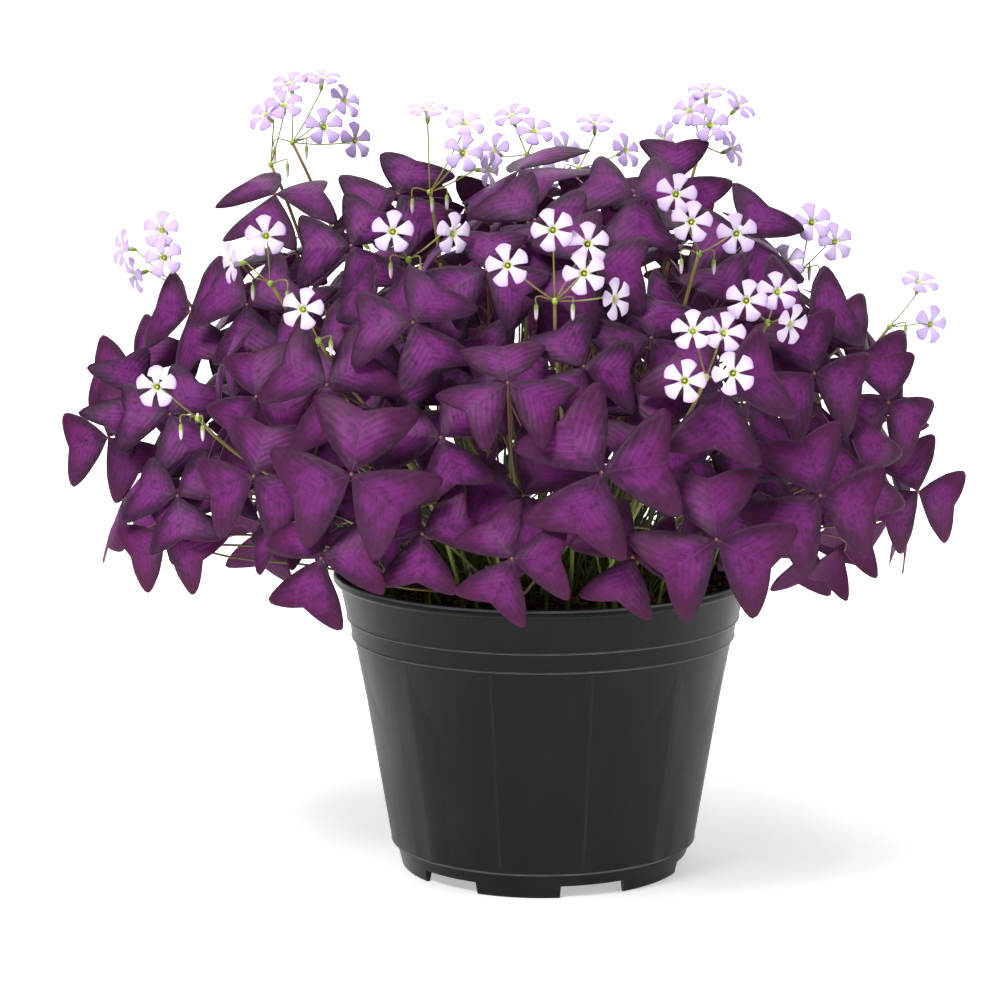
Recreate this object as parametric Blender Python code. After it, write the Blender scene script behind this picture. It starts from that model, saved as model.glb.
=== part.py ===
"""Purple shamrock (Oxalis triangularis) growing in a black nursery pot.

Metres, +Z up. The origin is the centre of the pot's underside, and the front of the
plant faces -Y. Leaf blades, stems and flowers are laid out over a dome-shaped canopy;
each leaf is pushed back until it is clear of its neighbours, and each stem is then
bent clear on its way down to the soil.
"""

import math
import random
from types import SimpleNamespace

import bmesh
import bpy
from mathutils import Matrix, Vector
from mathutils.bvhtree import BVHTree
from mathutils.kdtree import KDTree

MM = 0.001
SHARP_ANGLE = math.radians(30)

# Pot: a 215 mm wide, 154 mm high injection-moulded nursery pot.
POT_SEGMENTS = 32
POT_HEIGHT = 154 * MM
POT_WALL = 1.8 * MM
LIP_RADIUS = 107.7 * MM
LIP_DEPTH = 5 * MM
RIB_HEIGHTS = (131 * MM, 121 * MM)
RIB_RADII = (100.8 * MM, 98.4 * MM)
RIB_STEP = 1.1 * MM
RIB_RISE = 1 * MM
WALL_TURN_HEIGHT = 129 * MM
RIM_WIDTH = 2.2 * MM
RIM_SLOPE = 0.9 * MM
LIP_FLARE = 3 * MM
EDGE_EASE = 1.2 * MM
FOOT_SLOPE = 2 * MM
FLOOR_CORNER = 4 * MM
BODY_FOOT_HEIGHT = 13.8 * MM
BODY_FOOT_RADIUS = 79.5 * MM
FOOT_TOP_HEIGHT = 12.3 * MM
FOOT_TOP_RADIUS = 76.2 * MM
FOOT_RADIUS = 73.5 * MM
FOOT_WALL = 2.4 * MM
NOTCH_COUNT = 6
NOTCH_WIDTH = 34 * MM
NOTCH_HEIGHT = 6.5 * MM
NOTCH_CUT_DEPTH = 16 * MM
NOTCH_FIRST_BEARING = -70.0
FLOOR_UNDERSIDE = 7.5 * MM
FLOOR_TOP = 9.5 * MM
REST_DISC_RADIUS = 16 * MM
DRAIN_COUNT = 4
DRAIN_RADIUS = 5 * MM
DRAIN_SIDES = 6
DRAIN_CIRCLE = 48 * MM
DRAIN_CUT_FOOT = 2 * MM

# Soil: fills the pot to a little below the rim.
GAP = 0.3 * MM
SOIL_HEIGHT = 143 * MM
SOIL_SEGMENTS = 16
SOIL_RELIEF = 1.3 * MM
SOIL_SHOULDER = 8 * MM
SOIL_EDGE_DROP = 2 * MM
SOIL_RING_SHARES = (0.62, 0.3)
HOLE_DEPTH = 12 * MM
HOLE_TOP = 9 * MM
FOOT_ROOM = 1.5 * MM
HOLE_SIDES = 5
SCAPE_HOLE_SIDES = 6
SEAT_GAP = 0.35 * MM

# Leaves: three leaflets each. The outline is one half of a leaflet, in lengths from the
# hub to the leaflet's corner. The full outline bulges a little more at the sides, and
# it is what a leaf keeps clear of its neighbours with.
BLADE_THICKNESS = 0.8 * MM
HUB_SHARE = 0.036
RIDGE_SHARE = 0.40
NOTCH_SHARE = 0.735
HALF_OUTLINE = ((0.69, 0.60), (0.835, 0.50))
FULL_OUTLINE = ((0.30, 0.33), (0.70, 0.60), (0.835, 0.50))
READ_SHARE = 0.90
DROOP = (0.02, 0.20)
ARCH = (0.04, 0.16)
FOLD = (0.16, 0.34)
BLADE_CLEARANCE = 0.8 * MM
HUB_GUARD_LENGTH = 9 * MM
HUB_GUARD_RADIUS = 2 * MM
PETIOLE_RADIUS = 0.85 * MM
PETIOLE_STEPS = 3
PETIOLE_START = 4 * MM
OWN_BLADE_REACH = 6 * MM
CROWN_RADIUS = 2.9 * MM
CROWN_TOP = 4.5 * MM
CROWN_SEAT = 1.35 * MM
PETIOLE_FOOT = Vector((0, 0, 2.5 * MM))
SCAPE_FOOT = Vector((0, 0, 2.5 * MM))
LEAVES_PER_CROWN = 3

# Flowers: five blunt petals on a funnel, 20 mm across.
PETALS = 5
PETAL_REACH = 10.2 * MM
PETAL_HALF_ANGLE = 21.0
PETAL_THICKNESS = 0.7 * MM
PETAL_FLARE = 0.6 * MM
THROAT_RADIUS = 2.5 * MM
THROAT_DEPTH = 2 * MM
FUNNEL_LENGTH = 7.5 * MM
CALYX_RADIUS = 0.75 * MM
PEDICEL_RADIUS = 0.5 * MM
STALK_SIDES = 3
SCAPE_RADIUS = 0.95 * MM
SCAPE_STEPS = 3
UMBEL_CORE_RADIUS = 1.7 * MM
SCAPE_SPREAD = 0.8
SCAPE_DIP = 0.2
SCAPE_FREE_LENGTH = 40 * MM
FLOWER_SPIN = 20
BUD_LENGTH = 8 * MM
BUD_RADIUS = 1.0 * MM
BUD_RISE = 3 * MM
BUD_LEAN = 0.8 * MM
BUD_SHOULDER = 0.45
BACK_FLOWER_RISE = 52
BACK_FLOWER_TILT = 35
BACK_FLOWER_REACH = 27 * MM
BACK_BUD = (8, 12)

# Canopy: an ellipsoid through the leaf hubs.
CANOPY_CENTRE = Vector((-12 * MM, 0, 190 * MM))
CANOPY_AXES = Vector((206 * MM, 203 * MM, 168 * MM))
ROOT_DISC_RADIUS = 82 * MM
ROOT_PULL = 0.36
GOLDEN_ANGLE = 137.508
STEM_SPACING = 2.4 * MM
WANDER_SHIFT = 0.35 * MM
WANDER_TRIES = 8
WANDER_SHRINK = 0.009
STEM_SAMPLE = 1.5 * MM
SMOOTH_STEPS = 12
RIM_CLEARANCE = 3 * MM
RIM_REACH = 92 * MM
BLADE_SPACING = 1.7 * MM
SCAPE_TRIES = 2000
PETIOLE_TRIES = 400
SLIDE_STEP = 3
WANDERS = (0, 10, 20, 32)
FRONT_SLIDE = (-12, 42)
OUTER_SLIDE = (0, 60)
INNER_SLIDE = (-12, 15)
FIRST_REACH = (16, 70)
LAST_REACH = (20, 110)
MOST_SHAKE = 1.5
MOST_LEAN = 0.9
MOST_SWING = 0.6

# Where the plant is looked at from, for the places below that are read across its front.
EYE = Vector((0, -1654 * MM, 473 * MM))

# Leaves read across the front, in millimetres and degrees:
# across and up (on the upright plane through the pot's axis), the way the blade faces
# (turn to the right, tilt up), the turn of its first leaflet from the top, the leaflet's
# length as it looks on that plane, and how far behind the canopy's surface the hub lies.
# READ_SHARE and the hub's own distance turn that length into the real one.
FRONT_LEAVES = (
    (30, 204, 0, 10, -38, 52, 0),
    (-98, 203, -5, 10, 9, 51, 0),
    (-10, 192, -10, 25, -90, 48, 8),
    (89, 169, 5, 15, -3, 50, 0),
    (142, 192, 12, 15, -15, 46, 4),
    (-18, 250, 0, 45, -6, 41, 0),
    (92, 247, 10, 20, 71, 47, 0),
    (-110, 249, -8, 20, 55, 42, 4),
    (-66, 281, 5, 32, 35, 40, 0),
    (20, 255, 12, 30, -30, 41, 14),
    (-194, 171, -18, 12, -1, 36, 0),
    (-114, 159, -15, 22, 78, 41, 0),
    (-16, 159, -5, 22, -34, 38, 0),
    (-148, 202, -15, 18, 7, 41, 10),
    (-222, 222, -12, 18, 18, 36, 0),
    (-208, 256, -22, 20, 30, 36, 12),
    (-179, 286, -35, 25, 35, 39, 0),
    (-135, 346, -10, 58, 70, 37, 0),
    (-97, 320, 0, 25, -90, 37, 0),
    (-114, 269, -10, 35, 45, 38, 16),
    (-146, 243, -20, 18, 105, 37, 18),
    (-73, 346, 0, 40, 20, 38, 10),
    (-4, 333, 0, 35, -40, 39, 0),
    (46, 345, 5, 42, 60, 39, 4),
    (68, 353, 5, 25, 0, 33, 20),
    (24, 312, 5, 32, 95, 40, 8),
    (-29, 308, -5, 35, 0, 36, 6),
    (55, 273, 10, 32, 20, 41, 6),
    (104, 324, 18, 32, 40, 40, 4),
    (135, 284, 28, 25, 75, 43, 0),
    (138, 255, 15, 15, -10, 42, 10),
    (162, 264, 25, 18, 105, 41, 12),
    (176, 240, 25, 15, 7, 38, 0),
    (192, 194, 16, 12, -10, 36, 0),
    (165, 205, 30, 15, 40, 38, 16),
    (-52, 222, -5, 25, 40, 38, 26),
    (58, 225, 5, 25, 10, 40, 26),
    (-62, 172, -8, 20, 65, 38, 22),
    (46, 160, 5, 20, 80, 36, 24),
    (100, 290, 15, 30, -20, 38, 22),
    (-40, 262, 0, 30, 80, 38, 26),
    (-4, 296, 0, 30, 20, 40, 44),
    (-150, 290, -20, 30, 50, 38, 30),
    (-72, 232, 0, 22, 10, 38, 46),
)

# Leaves that the front doesn't show follow a rule: rows round the canopy from its
# underside to its crown, each with its height share, its leaf count, the bearing where
# the row starts, the arc it runs through (0 is the front, clockwise from above), and how
# far out it lies: 1 is on the canopy's surface, and less is on a smaller dome inside it.
HIDDEN_ROWS = (
    (0.98, 3, 0, 360, 1.0),
    (0.90, 5, 64, 232, 1.0),
    (0.74, 7, 78, 204, 1.0),
    (0.50, 8, 72, 216, 1.0),
    (0.22, 9, 70, 220, 1.0),
    (0.01, 9, 64, 232, 1.0),
    (0.62, 3, -44, 88, 0.80),
    (0.36, 4, -60, 120, 0.80),
    (0.16, 3, -60, 120, 0.82),
)
HIDDEN_LEAF_LENGTH = 39
HIDDEN_LENGTH_SPREAD = 4
HIDDEN_TILT_LOW = 16
HIDDEN_TILT_HIGH = 60
BEARING_SPREAD = 5
LEVEL_SPREAD = 0.05
TILT_SPREAD = 7
TURN_SPREAD = 12
LOWEST_LEVEL = -0.2

# Flower umbels read across the front: the core's across and up, its depth behind the
# canopy's surface, the flowers (across, up, how far forward of the core, turn, tilt) and
# the hanging buds (turn round the core, reach, drop).
UMBELS = (
    ((-126, 372), 60, ((-127, 402, 0, -20, 60), (-111, 405, 6, 10, 70), (-99, 393, 0, 50, 30),
                       (-110, 380, 12, 10, 20), (-94, 373, -6, 40, 12)), ((-70, 9, 14), (60, 8, 12))),
    ((-137, 361), 25, ((-140, 386, 0, -40, 32), (-130, 391, 9, 5, 45)), ((80, 8, 10),)),
    ((-187, 301), 10, ((-193, 328, 6, -20, 20), (-213, 319, 0, -62, 10), (-207, 305, -12, -60, -14),
                       (-192, 314, 16, -10, 12)), ()),
    ((-138, 301), 4, ((-140, 325, 12, 0, 10), (-158, 311, 6, -65, 0)), ((-100, 8, 12), (60, 9, 14))),
    ((-114, 272), -8, ((-122, 288, 14, -10, 20),), ((50, 7, 10),)),
    ((-57, 347), 22, ((-58, 389, 0, 0, 70), (-39, 382, 0, 20, 50), (-40, 367, 14, 15, 22),
                      (-27, 358, 0, 65, 0)), ((-90, 8, 14), (10, 7, 13), (75, 8, 12))),
    ((-68, 313), 0, ((-76, 327, 14, 0, 6), (-45, 326, 6, 40, 0)), ((-70, 8, 12), (40, 8, 13))),
    ((6, 292), -6, ((-18, 310, 16, -5, 6), (5, 328, 8, 0, 10), (23, 321, 2, 14, 12),
                    (21, 306, 20, 6, 6), (37, 293, 8, 50, 0)), ((-80, 8, 12), (70, 8, 12))),
    ((-8, 366), 60, ((-16, 386, 0, -30, 55), (-4, 378, 12, 10, 45), (-25, 368, 4, -40, 25),
                     (-3, 357, 20, 10, 10), (12, 369, 8, 50, 30)), ()),
    ((18, 359), 90, ((26, 382, 0, 0, 62), (42, 368, 0, 45, 22)), ((-60, 8, 12),)),
    ((80, 371), 60, ((82, 398, 0, 0, 68), (73, 388, 6, -32, 38), (84, 381, 18, 5, 26),
                     (99, 391, -4, 55, 42), (96, 369, 4, 60, 20), (60, 374, 4, -60, 22)), ((-30, 8, 12),)),
    ((79, 316), 6, ((67, 346, 8, -5, 10), (75, 332, 22, 0, 6), (98, 326, 10, 8, 2)),
     ((-80, 8, 13), (50, 8, 13))),
    ((131, 308), 30, ((136, 332, 6, 8, 16), (148, 322, 4, 25, 10), (123, 312, 16, -12, 30)),
     ((70, 8, 12), (150, 8, 10))),
    ((114, 281), -4, ((103, 292, 14, -5, 6), (119, 297, 2, 5, 30), (126, 280, 14, 42, -12)), ()),
    ((83, 253), -20, ((76, 277, 4, -12, 30), (92, 276, 4, 12, 30), (72, 251, 12, -6, 6),
                      (97, 255, 14, 6, 6)), ()),
    ((176, 279), 30, ((191, 302, 0, 20, 60), (197, 280, 8, 30, 0)), ((60, 8, 10),)),
    ((-176, 232), -4, ((-197, 248, 8, -12, 10),), ((-60, 8, 13), (20, 8, 13))),
)

# Umbels that rise behind the canopy, unseen from the front: bearing, distance from the
# axis, height of the core, and the bearings of its flowers round it.
BACK_UMBELS = (
    (168, 120, 322, (120, 190, 250)),
    (215, 150, 290, (170, 240)),
)

PLANT_SEED = 11
SOIL_SEED = 5
random_source = random.Random(PLANT_SEED)


def clear_scene():
    """Empty the scene, keeping the file itself."""
    for item in list(bpy.data.objects):
        bpy.data.objects.remove(item, do_unlink=True)


def make_material(name, colour, roughness, metallic=0.0):
    """A plain surface."""
    material = bpy.data.materials.new(name)
    material.use_nodes = True
    shader = material.node_tree.nodes["Principled BSDF"]
    shader.inputs["Base Color"].default_value = (*colour, 1)
    shader.inputs["Roughness"].default_value = roughness
    shader.inputs["Metallic"].default_value = metallic
    return material


def make_object(name, verts, faces, material=None):
    """A mesh object from points and faces, with its faces turned outwards."""
    mesh = bpy.data.meshes.new(name)
    mesh.from_pydata([tuple(v) for v in verts], [], faces)
    shape = bmesh.new()
    shape.from_mesh(mesh)
    bmesh.ops.recalc_face_normals(shape, faces=shape.faces)
    shape.to_mesh(mesh)
    shape.free()
    if material:
        mesh.materials.append(material)
    item = bpy.data.objects.new(name, mesh)
    bpy.context.collection.objects.link(item)
    return item


def boolean(item, others, operation, solver="EXACT"):
    """Join the others to the item, or cut them from it, in one step."""
    group = bpy.data.collections.new(item.name + "_operands")
    bpy.context.scene.collection.children.link(group)
    for other in others:
        bpy.context.collection.objects.unlink(other)
        group.objects.link(other)
    step = item.modifiers.new("join", "BOOLEAN")
    step.operation = operation
    step.solver = solver
    step.operand_type = "COLLECTION"
    step.collection = group
    graph = bpy.context.evaluated_depsgraph_get()
    result = bpy.data.meshes.new_from_object(item.evaluated_get(graph))
    item.modifiers.clear()
    item.data = result
    for other in others:
        bpy.data.objects.remove(other, do_unlink=True)
    bpy.data.collections.remove(group)


def facing_axes(turn, tilt):
    """Right, up and outward axes of something that faces front, turned right and tilted up."""
    a, e = math.radians(turn), math.radians(tilt)
    out = Vector((math.sin(a) * math.cos(e), -math.cos(a) * math.cos(e), math.sin(e)))
    up = Vector((-math.sin(a) * math.sin(e), math.cos(a) * math.sin(e), math.cos(e)))
    return up.cross(out), up, out


def sweep(path, radii, ring, verts, faces):
    """Carry a closed ring of vertex numbers along a path, turning it with the path."""
    centre = sum((verts[i] for i in ring), Vector()) / len(ring)
    spokes = [(verts[i] - centre).normalized() for i in ring]
    tangent = (path[1] - path[0]).normalized()
    for step in range(1, len(path)):
        ahead = path[min(step + 1, len(path) - 1)] - path[step - 1]
        turned = tangent.rotation_difference(ahead)
        spokes = [turned @ s for s in spokes]
        tangent = ahead.normalized()
        spokes = [(s - tangent * s.dot(tangent)).normalized() for s in spokes]
        fresh = []
        for spoke in spokes:
            verts.append(path[step] + spoke * radii[step])
            fresh.append(len(verts) - 1)
        for i in range(len(ring)):
            j = (i + 1) % len(ring)
            faces.append((ring[i], ring[j], fresh[j]))
            faces.append((ring[i], fresh[j], fresh[i]))
        ring = fresh
    return ring


def bridge(first, second, faces):
    """Join two rings of different counts that start at the same side."""
    n, m = len(first), len(second)
    i = j = 0
    while i < n or j < m:
        if j == m or (i < n and (i + 1) * m <= (j + 1) * n):
            faces.append((first[i], first[(i + 1) % n], second[j % m]))
            i += 1
        else:
            faces.append((first[i % n], second[(j + 1) % m], second[j]))
            j += 1


def fan(ring, verts, faces, apex=None):
    """Close a ring, flat or to an apex."""
    if apex is None:
        for i in range(1, len(ring) - 1):
            faces.append((ring[0], ring[i], ring[i + 1]))
        return
    verts.append(apex)
    for i in range(len(ring)):
        faces.append((ring[i], ring[(i + 1) % len(ring)], len(verts) - 1))


def bezier(points, count):
    """Evenly stepped points on a cubic curve."""
    a, b, c, d = points
    curve = []
    for i in range(count + 1):
        t = i / count
        s = 1 - t
        curve.append(a * s ** 3 + b * (3 * s * s * t) + c * (3 * s * t * t) + d * t ** 3)
    return curve


def make_leaf(hub, turn, tilt, spin, length):
    """A leaf's place and form: hub, axes of its three leaflets, length and bend."""
    leaf = SimpleNamespace(hub=hub, length=length)
    aim_leaf(leaf, turn, tilt, spin)
    leaf.droop = [random_source.uniform(*DROOP) for _ in range(3)]
    leaf.arch = [random_source.uniform(*ARCH) for _ in range(3)]
    leaf.fold = [random_source.uniform(*FOLD) for _ in range(3)]
    return leaf


def aim_leaf(leaf, turn, tilt, spin):
    """Set the way a leaf faces and the directions of its three leaflets."""
    right, up, leaf.out = facing_axes(turn, tilt)
    leaf.turn, leaf.tilt, leaf.spin = turn, tilt, spin
    leaf.along = []
    leaf.side = []
    for k in range(3):
        angle = math.radians(spin + 120 * k)
        leaf.along.append(up * math.cos(angle) + right * math.sin(angle))
        leaf.side.append(right * math.cos(angle) - up * math.sin(angle))


def blade_point(leaf, k, x, y):
    """A point on leaflet k, x along its midrib and y to its side, in leaflet lengths."""
    fall = leaf.droop[k] * x + leaf.arch[k] * x * x + leaf.fold[k] * abs(y)
    offset = leaf.along[k] * x + leaf.side[k] * y - leaf.out * fall
    return leaf.hub + offset * leaf.length


def blade_skin(leaf, thickness, half_outline=HALF_OUTLINE):
    """The thin arched blade: points, faces, and the ring round the hub left open below."""
    lift = leaf.out * (thickness / 2)
    verts = []
    faces = []
    rings = []
    for sign in (1, -1):
        corners = []
        for k in range(3):
            spoke = (leaf.along[k] * 0.5 + leaf.side[k] * math.sqrt(0.75)) * leaf.length
            verts.append(leaf.hub + spoke * HUB_SHARE + lift * sign)
            corners.append(len(verts) - 1)
        outline = []
        for k in range(3):
            base = (corners[(k - 1) % 3], corners[k])
            edge = []
            for x, y in half_outline:
                edge.append((x, -y))
            edge.append((NOTCH_SHARE, 0))
            for x, y in reversed(half_outline):
                edge.append((x, y))
            ring = [base[0]]
            for x, y in edge:
                verts.append(blade_point(leaf, k, x, y) + lift * sign)
                ring.append(len(verts) - 1)
            outline.extend(ring)
            ring.append(base[1])
            verts.append(blade_point(leaf, k, RIDGE_SHARE, 0) + lift * sign)
            ridge = len(verts) - 1
            for i in range(len(ring)):
                faces.append((ridge, ring[i], ring[(i + 1) % len(ring)]))
        rings.append((corners, outline))
    faces.append(tuple(rings[0][0]))
    top, bottom = rings[0][1], rings[1][1]
    for i in range(len(top)):
        j = (i + 1) % len(top)
        faces.append((top[i], bottom[i], bottom[j]))
        faces.append((top[i], bottom[j], top[j]))
    return verts, faces, rings[1][0]


def leaf_object(name, leaf, material):
    """The blade and its petiole in one skin."""
    verts, faces, ring = blade_skin(leaf, BLADE_THICKNESS)
    path = [leaf.hub] + bezier(leaf.route, PETIOLE_STEPS)
    radii = [PETIOLE_RADIUS] * len(path)
    ring = sweep(path, radii, ring, verts, faces)
    fan(ring, verts, faces)
    return make_object(name, verts, faces, material)


def flower_skin(flower, thickness=PETAL_THICKNESS, funnel=True):
    """Five petals over a funnel, open at the calyx ring, which is returned."""
    verts = []
    faces = []
    rings = []
    for sign in (0, -1):
        lift = flower.out * (thickness * sign)
        throat = []
        outline = []
        for k in range(PETALS):
            verts.append(flower_point(flower, k + 0.5, 0, THROAT_RADIUS, 0) + lift)
            throat.append(len(verts) - 1)
        for k in range(PETALS):
            before, after = throat[(k - 1) % PETALS], throat[k]
            tips = []
            for side in (-1, 1):
                tip = flower_point(flower, k, side * PETAL_HALF_ANGLE, PETAL_REACH, PETAL_FLARE)
                verts.append(tip + lift)
                tips.append(len(verts) - 1)
            faces.append((before, tips[0], tips[1]))
            faces.append((before, tips[1], after))
            outline.extend((before, *tips))
        rings.append((throat, outline))
    fan(rings[0][0], verts, faces, flower.place - flower.out * THROAT_DEPTH)
    top, bottom = rings[0][1], rings[1][1]
    for i in range(len(top)):
        j = (i + 1) % len(top)
        faces.append((top[i], bottom[i], bottom[j]))
        faces.append((top[i], bottom[j], top[j]))
    return verts, faces, rings[1][0]


def flower_point(flower, petal, degrees, reach, rise):
    """A point at a reach from the flower's axis, in the petal's direction."""
    angle = math.radians(360 / PETALS * petal + degrees)
    spoke = flower.up * math.cos(angle) + flower.right * math.sin(angle)
    return flower.place + spoke * reach + flower.out * rise


def flower_object(name, flower, core):
    """A flower and its pedicel in one skin."""
    verts, faces, throat = flower_skin(flower)
    calyx = flower.place - flower.out * FUNNEL_LENGTH
    start = (verts[throat[0]] - flower.place).normalized()
    ring = polygon(calyx, flower.out, CALYX_RADIUS, STALK_SIDES, verts, start)
    bridge(throat, ring, faces)
    ring = sweep([calyx, core], [CALYX_RADIUS, PEDICEL_RADIUS], ring, verts, faces)
    fan(ring, verts, faces)
    return make_object(name, verts, faces)


def polygon(centre, axis, radius, sides, verts, first=None):
    """A ring of new points round an axis."""
    first = axis.orthogonal() if first is None else first - axis * first.dot(axis)
    first = first.normalized()
    second = first.cross(axis).normalized()
    ring = []
    for i in range(sides):
        angle = math.tau * i / sides
        verts.append(centre + (first * math.cos(angle) + second * math.sin(angle)) * radius)
        ring.append(len(verts) - 1)
    return ring


def tube_object(name, path, radii, sides, apex=None, material=None):
    """A capped tube along a path, ending flat or in a point."""
    verts = []
    faces = []
    ring = polygon(path[0], (path[1] - path[0]).normalized(), radii[0], sides, verts)
    fan(ring, verts, faces)
    ring = sweep(path, radii, ring, verts, faces)
    fan(ring, verts, faces, apex)
    return make_object(name, verts, faces, material)


def bud_path(core, bud):
    """A hanging bud's stalk: out and up from the core, then down."""
    turn, reach, drop = bud
    right, up, out = facing_axes(turn, 0)
    bend = core + out * (reach * MM) + Vector((0, 0, BUD_RISE))
    neck = bend + Vector((0, 0, -(drop * MM - BUD_LENGTH))) + out * BUD_LEAN
    return [core, bend, neck, neck + Vector((0, 0, -BUD_LENGTH))]


def bud_object(name, core, bud):
    """A hanging bud on its stalk."""
    first, bend, neck, tip = bud_path(core, bud)
    middle = neck.lerp(tip, BUD_SHOULDER)
    radii = [PEDICEL_RADIUS, PEDICEL_RADIUS, PEDICEL_RADIUS, BUD_RADIUS]
    return tube_object(name, [first, bend, neck, middle], radii, 3, tip)


def canopy_point(across, up, depth):
    """Where a line of sight through a place on the pot's plane meets the canopy."""
    line = (Vector((across * MM, 0, up * MM)) - EYE).normalized()
    a = Vector([line[i] / CANOPY_AXES[i] for i in range(3)])
    b = Vector([(EYE[i] - CANOPY_CENTRE[i]) / CANOPY_AXES[i] for i in range(3)])
    middle = -a.dot(b) / a.dot(a)
    reach = middle ** 2 - (b.dot(b) - 1) / a.dot(a)
    near = middle - math.sqrt(max(reach, 0))
    return EYE + line * (near + depth * MM), line


def tree_of(skins):
    """One search tree over several skins, with the owner of each face."""
    verts = []
    faces = []
    owners = []
    for owner, skin_verts, skin_faces in skins:
        start = len(verts)
        verts.extend(skin_verts)
        for face in skin_faces:
            faces.append(tuple(start + i for i in face))
            owners.append(owner)
    return BVHTree.FromPolygons(verts, faces), owners


def umbel_skins(umbel):
    """What a leaf or stem has to keep clear of in an umbel."""
    skins = []
    for flower in umbel.flowers:
        verts, faces, ring = flower_skin(flower, PETAL_THICKNESS * 2)
        calyx = flower.place - flower.out * FUNNEL_LENGTH
        path = [flower.place, calyx, umbel.core]
        sweep(path, [THROAT_RADIUS, CALYX_RADIUS * 2, PEDICEL_RADIUS * 2], ring, verts, faces)
        skins.append((umbel.name, verts, faces))
    for bud in umbel.buds:
        path = bud_path(umbel.core, bud)
        verts = []
        faces = []
        ring = polygon(path[0], (path[1] - path[0]).normalized(), BUD_RADIUS, 3, verts)
        sweep(path, [BUD_RADIUS * 1.6] * len(path), ring, verts, faces)
        skins.append((umbel.name, verts, faces))
    return skins


def make_umbels():
    """Every umbel's core, flowers and buds."""
    umbels = []
    for (across, up), depth, flowers, buds in UMBELS:
        core, line = canopy_point(across, up, depth)
        umbel = SimpleNamespace(core=core, flowers=[], buds=buds)
        for x, z, forward, turn, tilt in flowers:
            sight = Vector((x * MM, 0, z * MM)) - EYE
            place = EYE + sight * ((core.y - forward * MM - EYE.y) / sight.y)
            umbel.flowers.append(make_flower(place, turn, tilt))
        umbels.append(umbel)
    for bearing, reach, height, around in BACK_UMBELS:
        a = math.radians(bearing)
        core = Vector((math.sin(a) * reach * MM, -math.cos(a) * reach * MM, height * MM))
        umbel = SimpleNamespace(core=core, flowers=[], buds=((bearing, *BACK_BUD),))
        for turn in around:
            right, up, out = facing_axes(turn, BACK_FLOWER_RISE)
            umbel.flowers.append(make_flower(core + out * BACK_FLOWER_REACH, turn, BACK_FLOWER_TILT))
        umbels.append(umbel)
    for i, umbel in enumerate(umbels):
        umbel.name = f"flower_umbel_{i + 1:02d}"
    return umbels


def make_flower(place, turn, tilt):
    """A flower's place and axes, with a little spin of its own."""
    right, up, out = facing_axes(turn, tilt)
    spin = math.radians(random_source.uniform(-FLOWER_SPIN, FLOWER_SPIN))
    turned_up = up * math.cos(spin) + right * math.sin(spin)
    turned_right = right * math.cos(spin) - up * math.sin(spin)
    return SimpleNamespace(place=place, right=turned_right, up=turned_up, out=out)


def stem_skin(path, radius):
    """A plain tube round a stem."""
    verts = []
    faces = []
    ring = polygon(path[0], (path[1] - path[0]).normalized(), radius, STALK_SIDES, verts)
    sweep(path, [radius] * len(path), ring, verts, faces)
    return verts, faces


class Growth:
    """All that has been grown so far, for the next leaf or stem to keep clear of."""

    def __init__(self):
        self.skins = []
        self.tubes = []
        self.points = []
        self.owners = []
        self.refresh()

    def refresh(self):
        self.solid, self.solid_owners = tree_of(self.skins)
        self.everything = tree_of(self.skins + self.tubes)[0]
        self.stems = KDTree(len(self.points))
        for i, point in enumerate(self.points):
            self.stems.insert(point, i)
        self.stems.balance()

    def add_stem(self, route, steps, owner):
        for path in (bezier(route, steps), bezier(route, SMOOTH_STEPS)):
            for point in along_path(path, STEM_SAMPLE):
                self.points.append(point)
                self.owners.append(owner)
            self.tubes.append((owner, *stem_skin(path, PETIOLE_RADIUS + BLADE_CLEARANCE)))
        self.refresh()

    def stem_faults(self, route, steps, owner, free_length, limit):
        """How many samples of a route lie too near something else."""
        start = route[0]
        faults = 0
        paths = along_path(bezier(route, steps), STEM_SAMPLE)
        for point in paths + along_path(bezier(route, SMOOTH_STEPS), STEM_SAMPLE):
            if point.z < POT_HEIGHT + RIM_CLEARANCE and point.xy.length > RIM_REACH:
                faults += 1
            for place, normal, index, distance in self.solid.find_nearest_range(point, BLADE_SPACING):
                if self.solid_owners[index] != owner or (point - start).length > free_length:
                    faults += 1
            for place, index, distance in self.stems.find_range(point, STEM_SPACING):
                if self.owners[index] != owner:
                    faults += 1
            if faults > limit:
                return faults
        return faults

    def find_route(self, start, leave, foot, steps, owner, free_length, tries):
        """Bend a stem from its upper end to its foot, clear of everything."""
        outward = Vector((foot.x, foot.y, 0)).normalized()
        best = (math.inf, None)
        for attempt in range(tries):
            loose = min(1.0, 3 * attempt / tries)
            shake = Vector([random_source.uniform(-1, 1) for _ in range(3)]) * MOST_SHAKE * loose
            first = start + (leave + shake).normalized() * random_source.uniform(*FIRST_REACH) * MM
            lean = Vector((0, 0, 1)) + outward * random_source.uniform(0, MOST_LEAN)
            swing = Vector((random_source.uniform(-1, 1), random_source.uniform(-1, 1), 0))
            lean += swing * MOST_SWING * loose
            second = foot + lean.normalized() * random_source.uniform(*LAST_REACH) * MM
            route = (start, first, second, foot)
            faults = self.stem_faults(route, steps, owner, free_length, best[0])
            if faults < best[0]:
                best = (faults, route)
            if faults == 0:
                break
        return best


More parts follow.
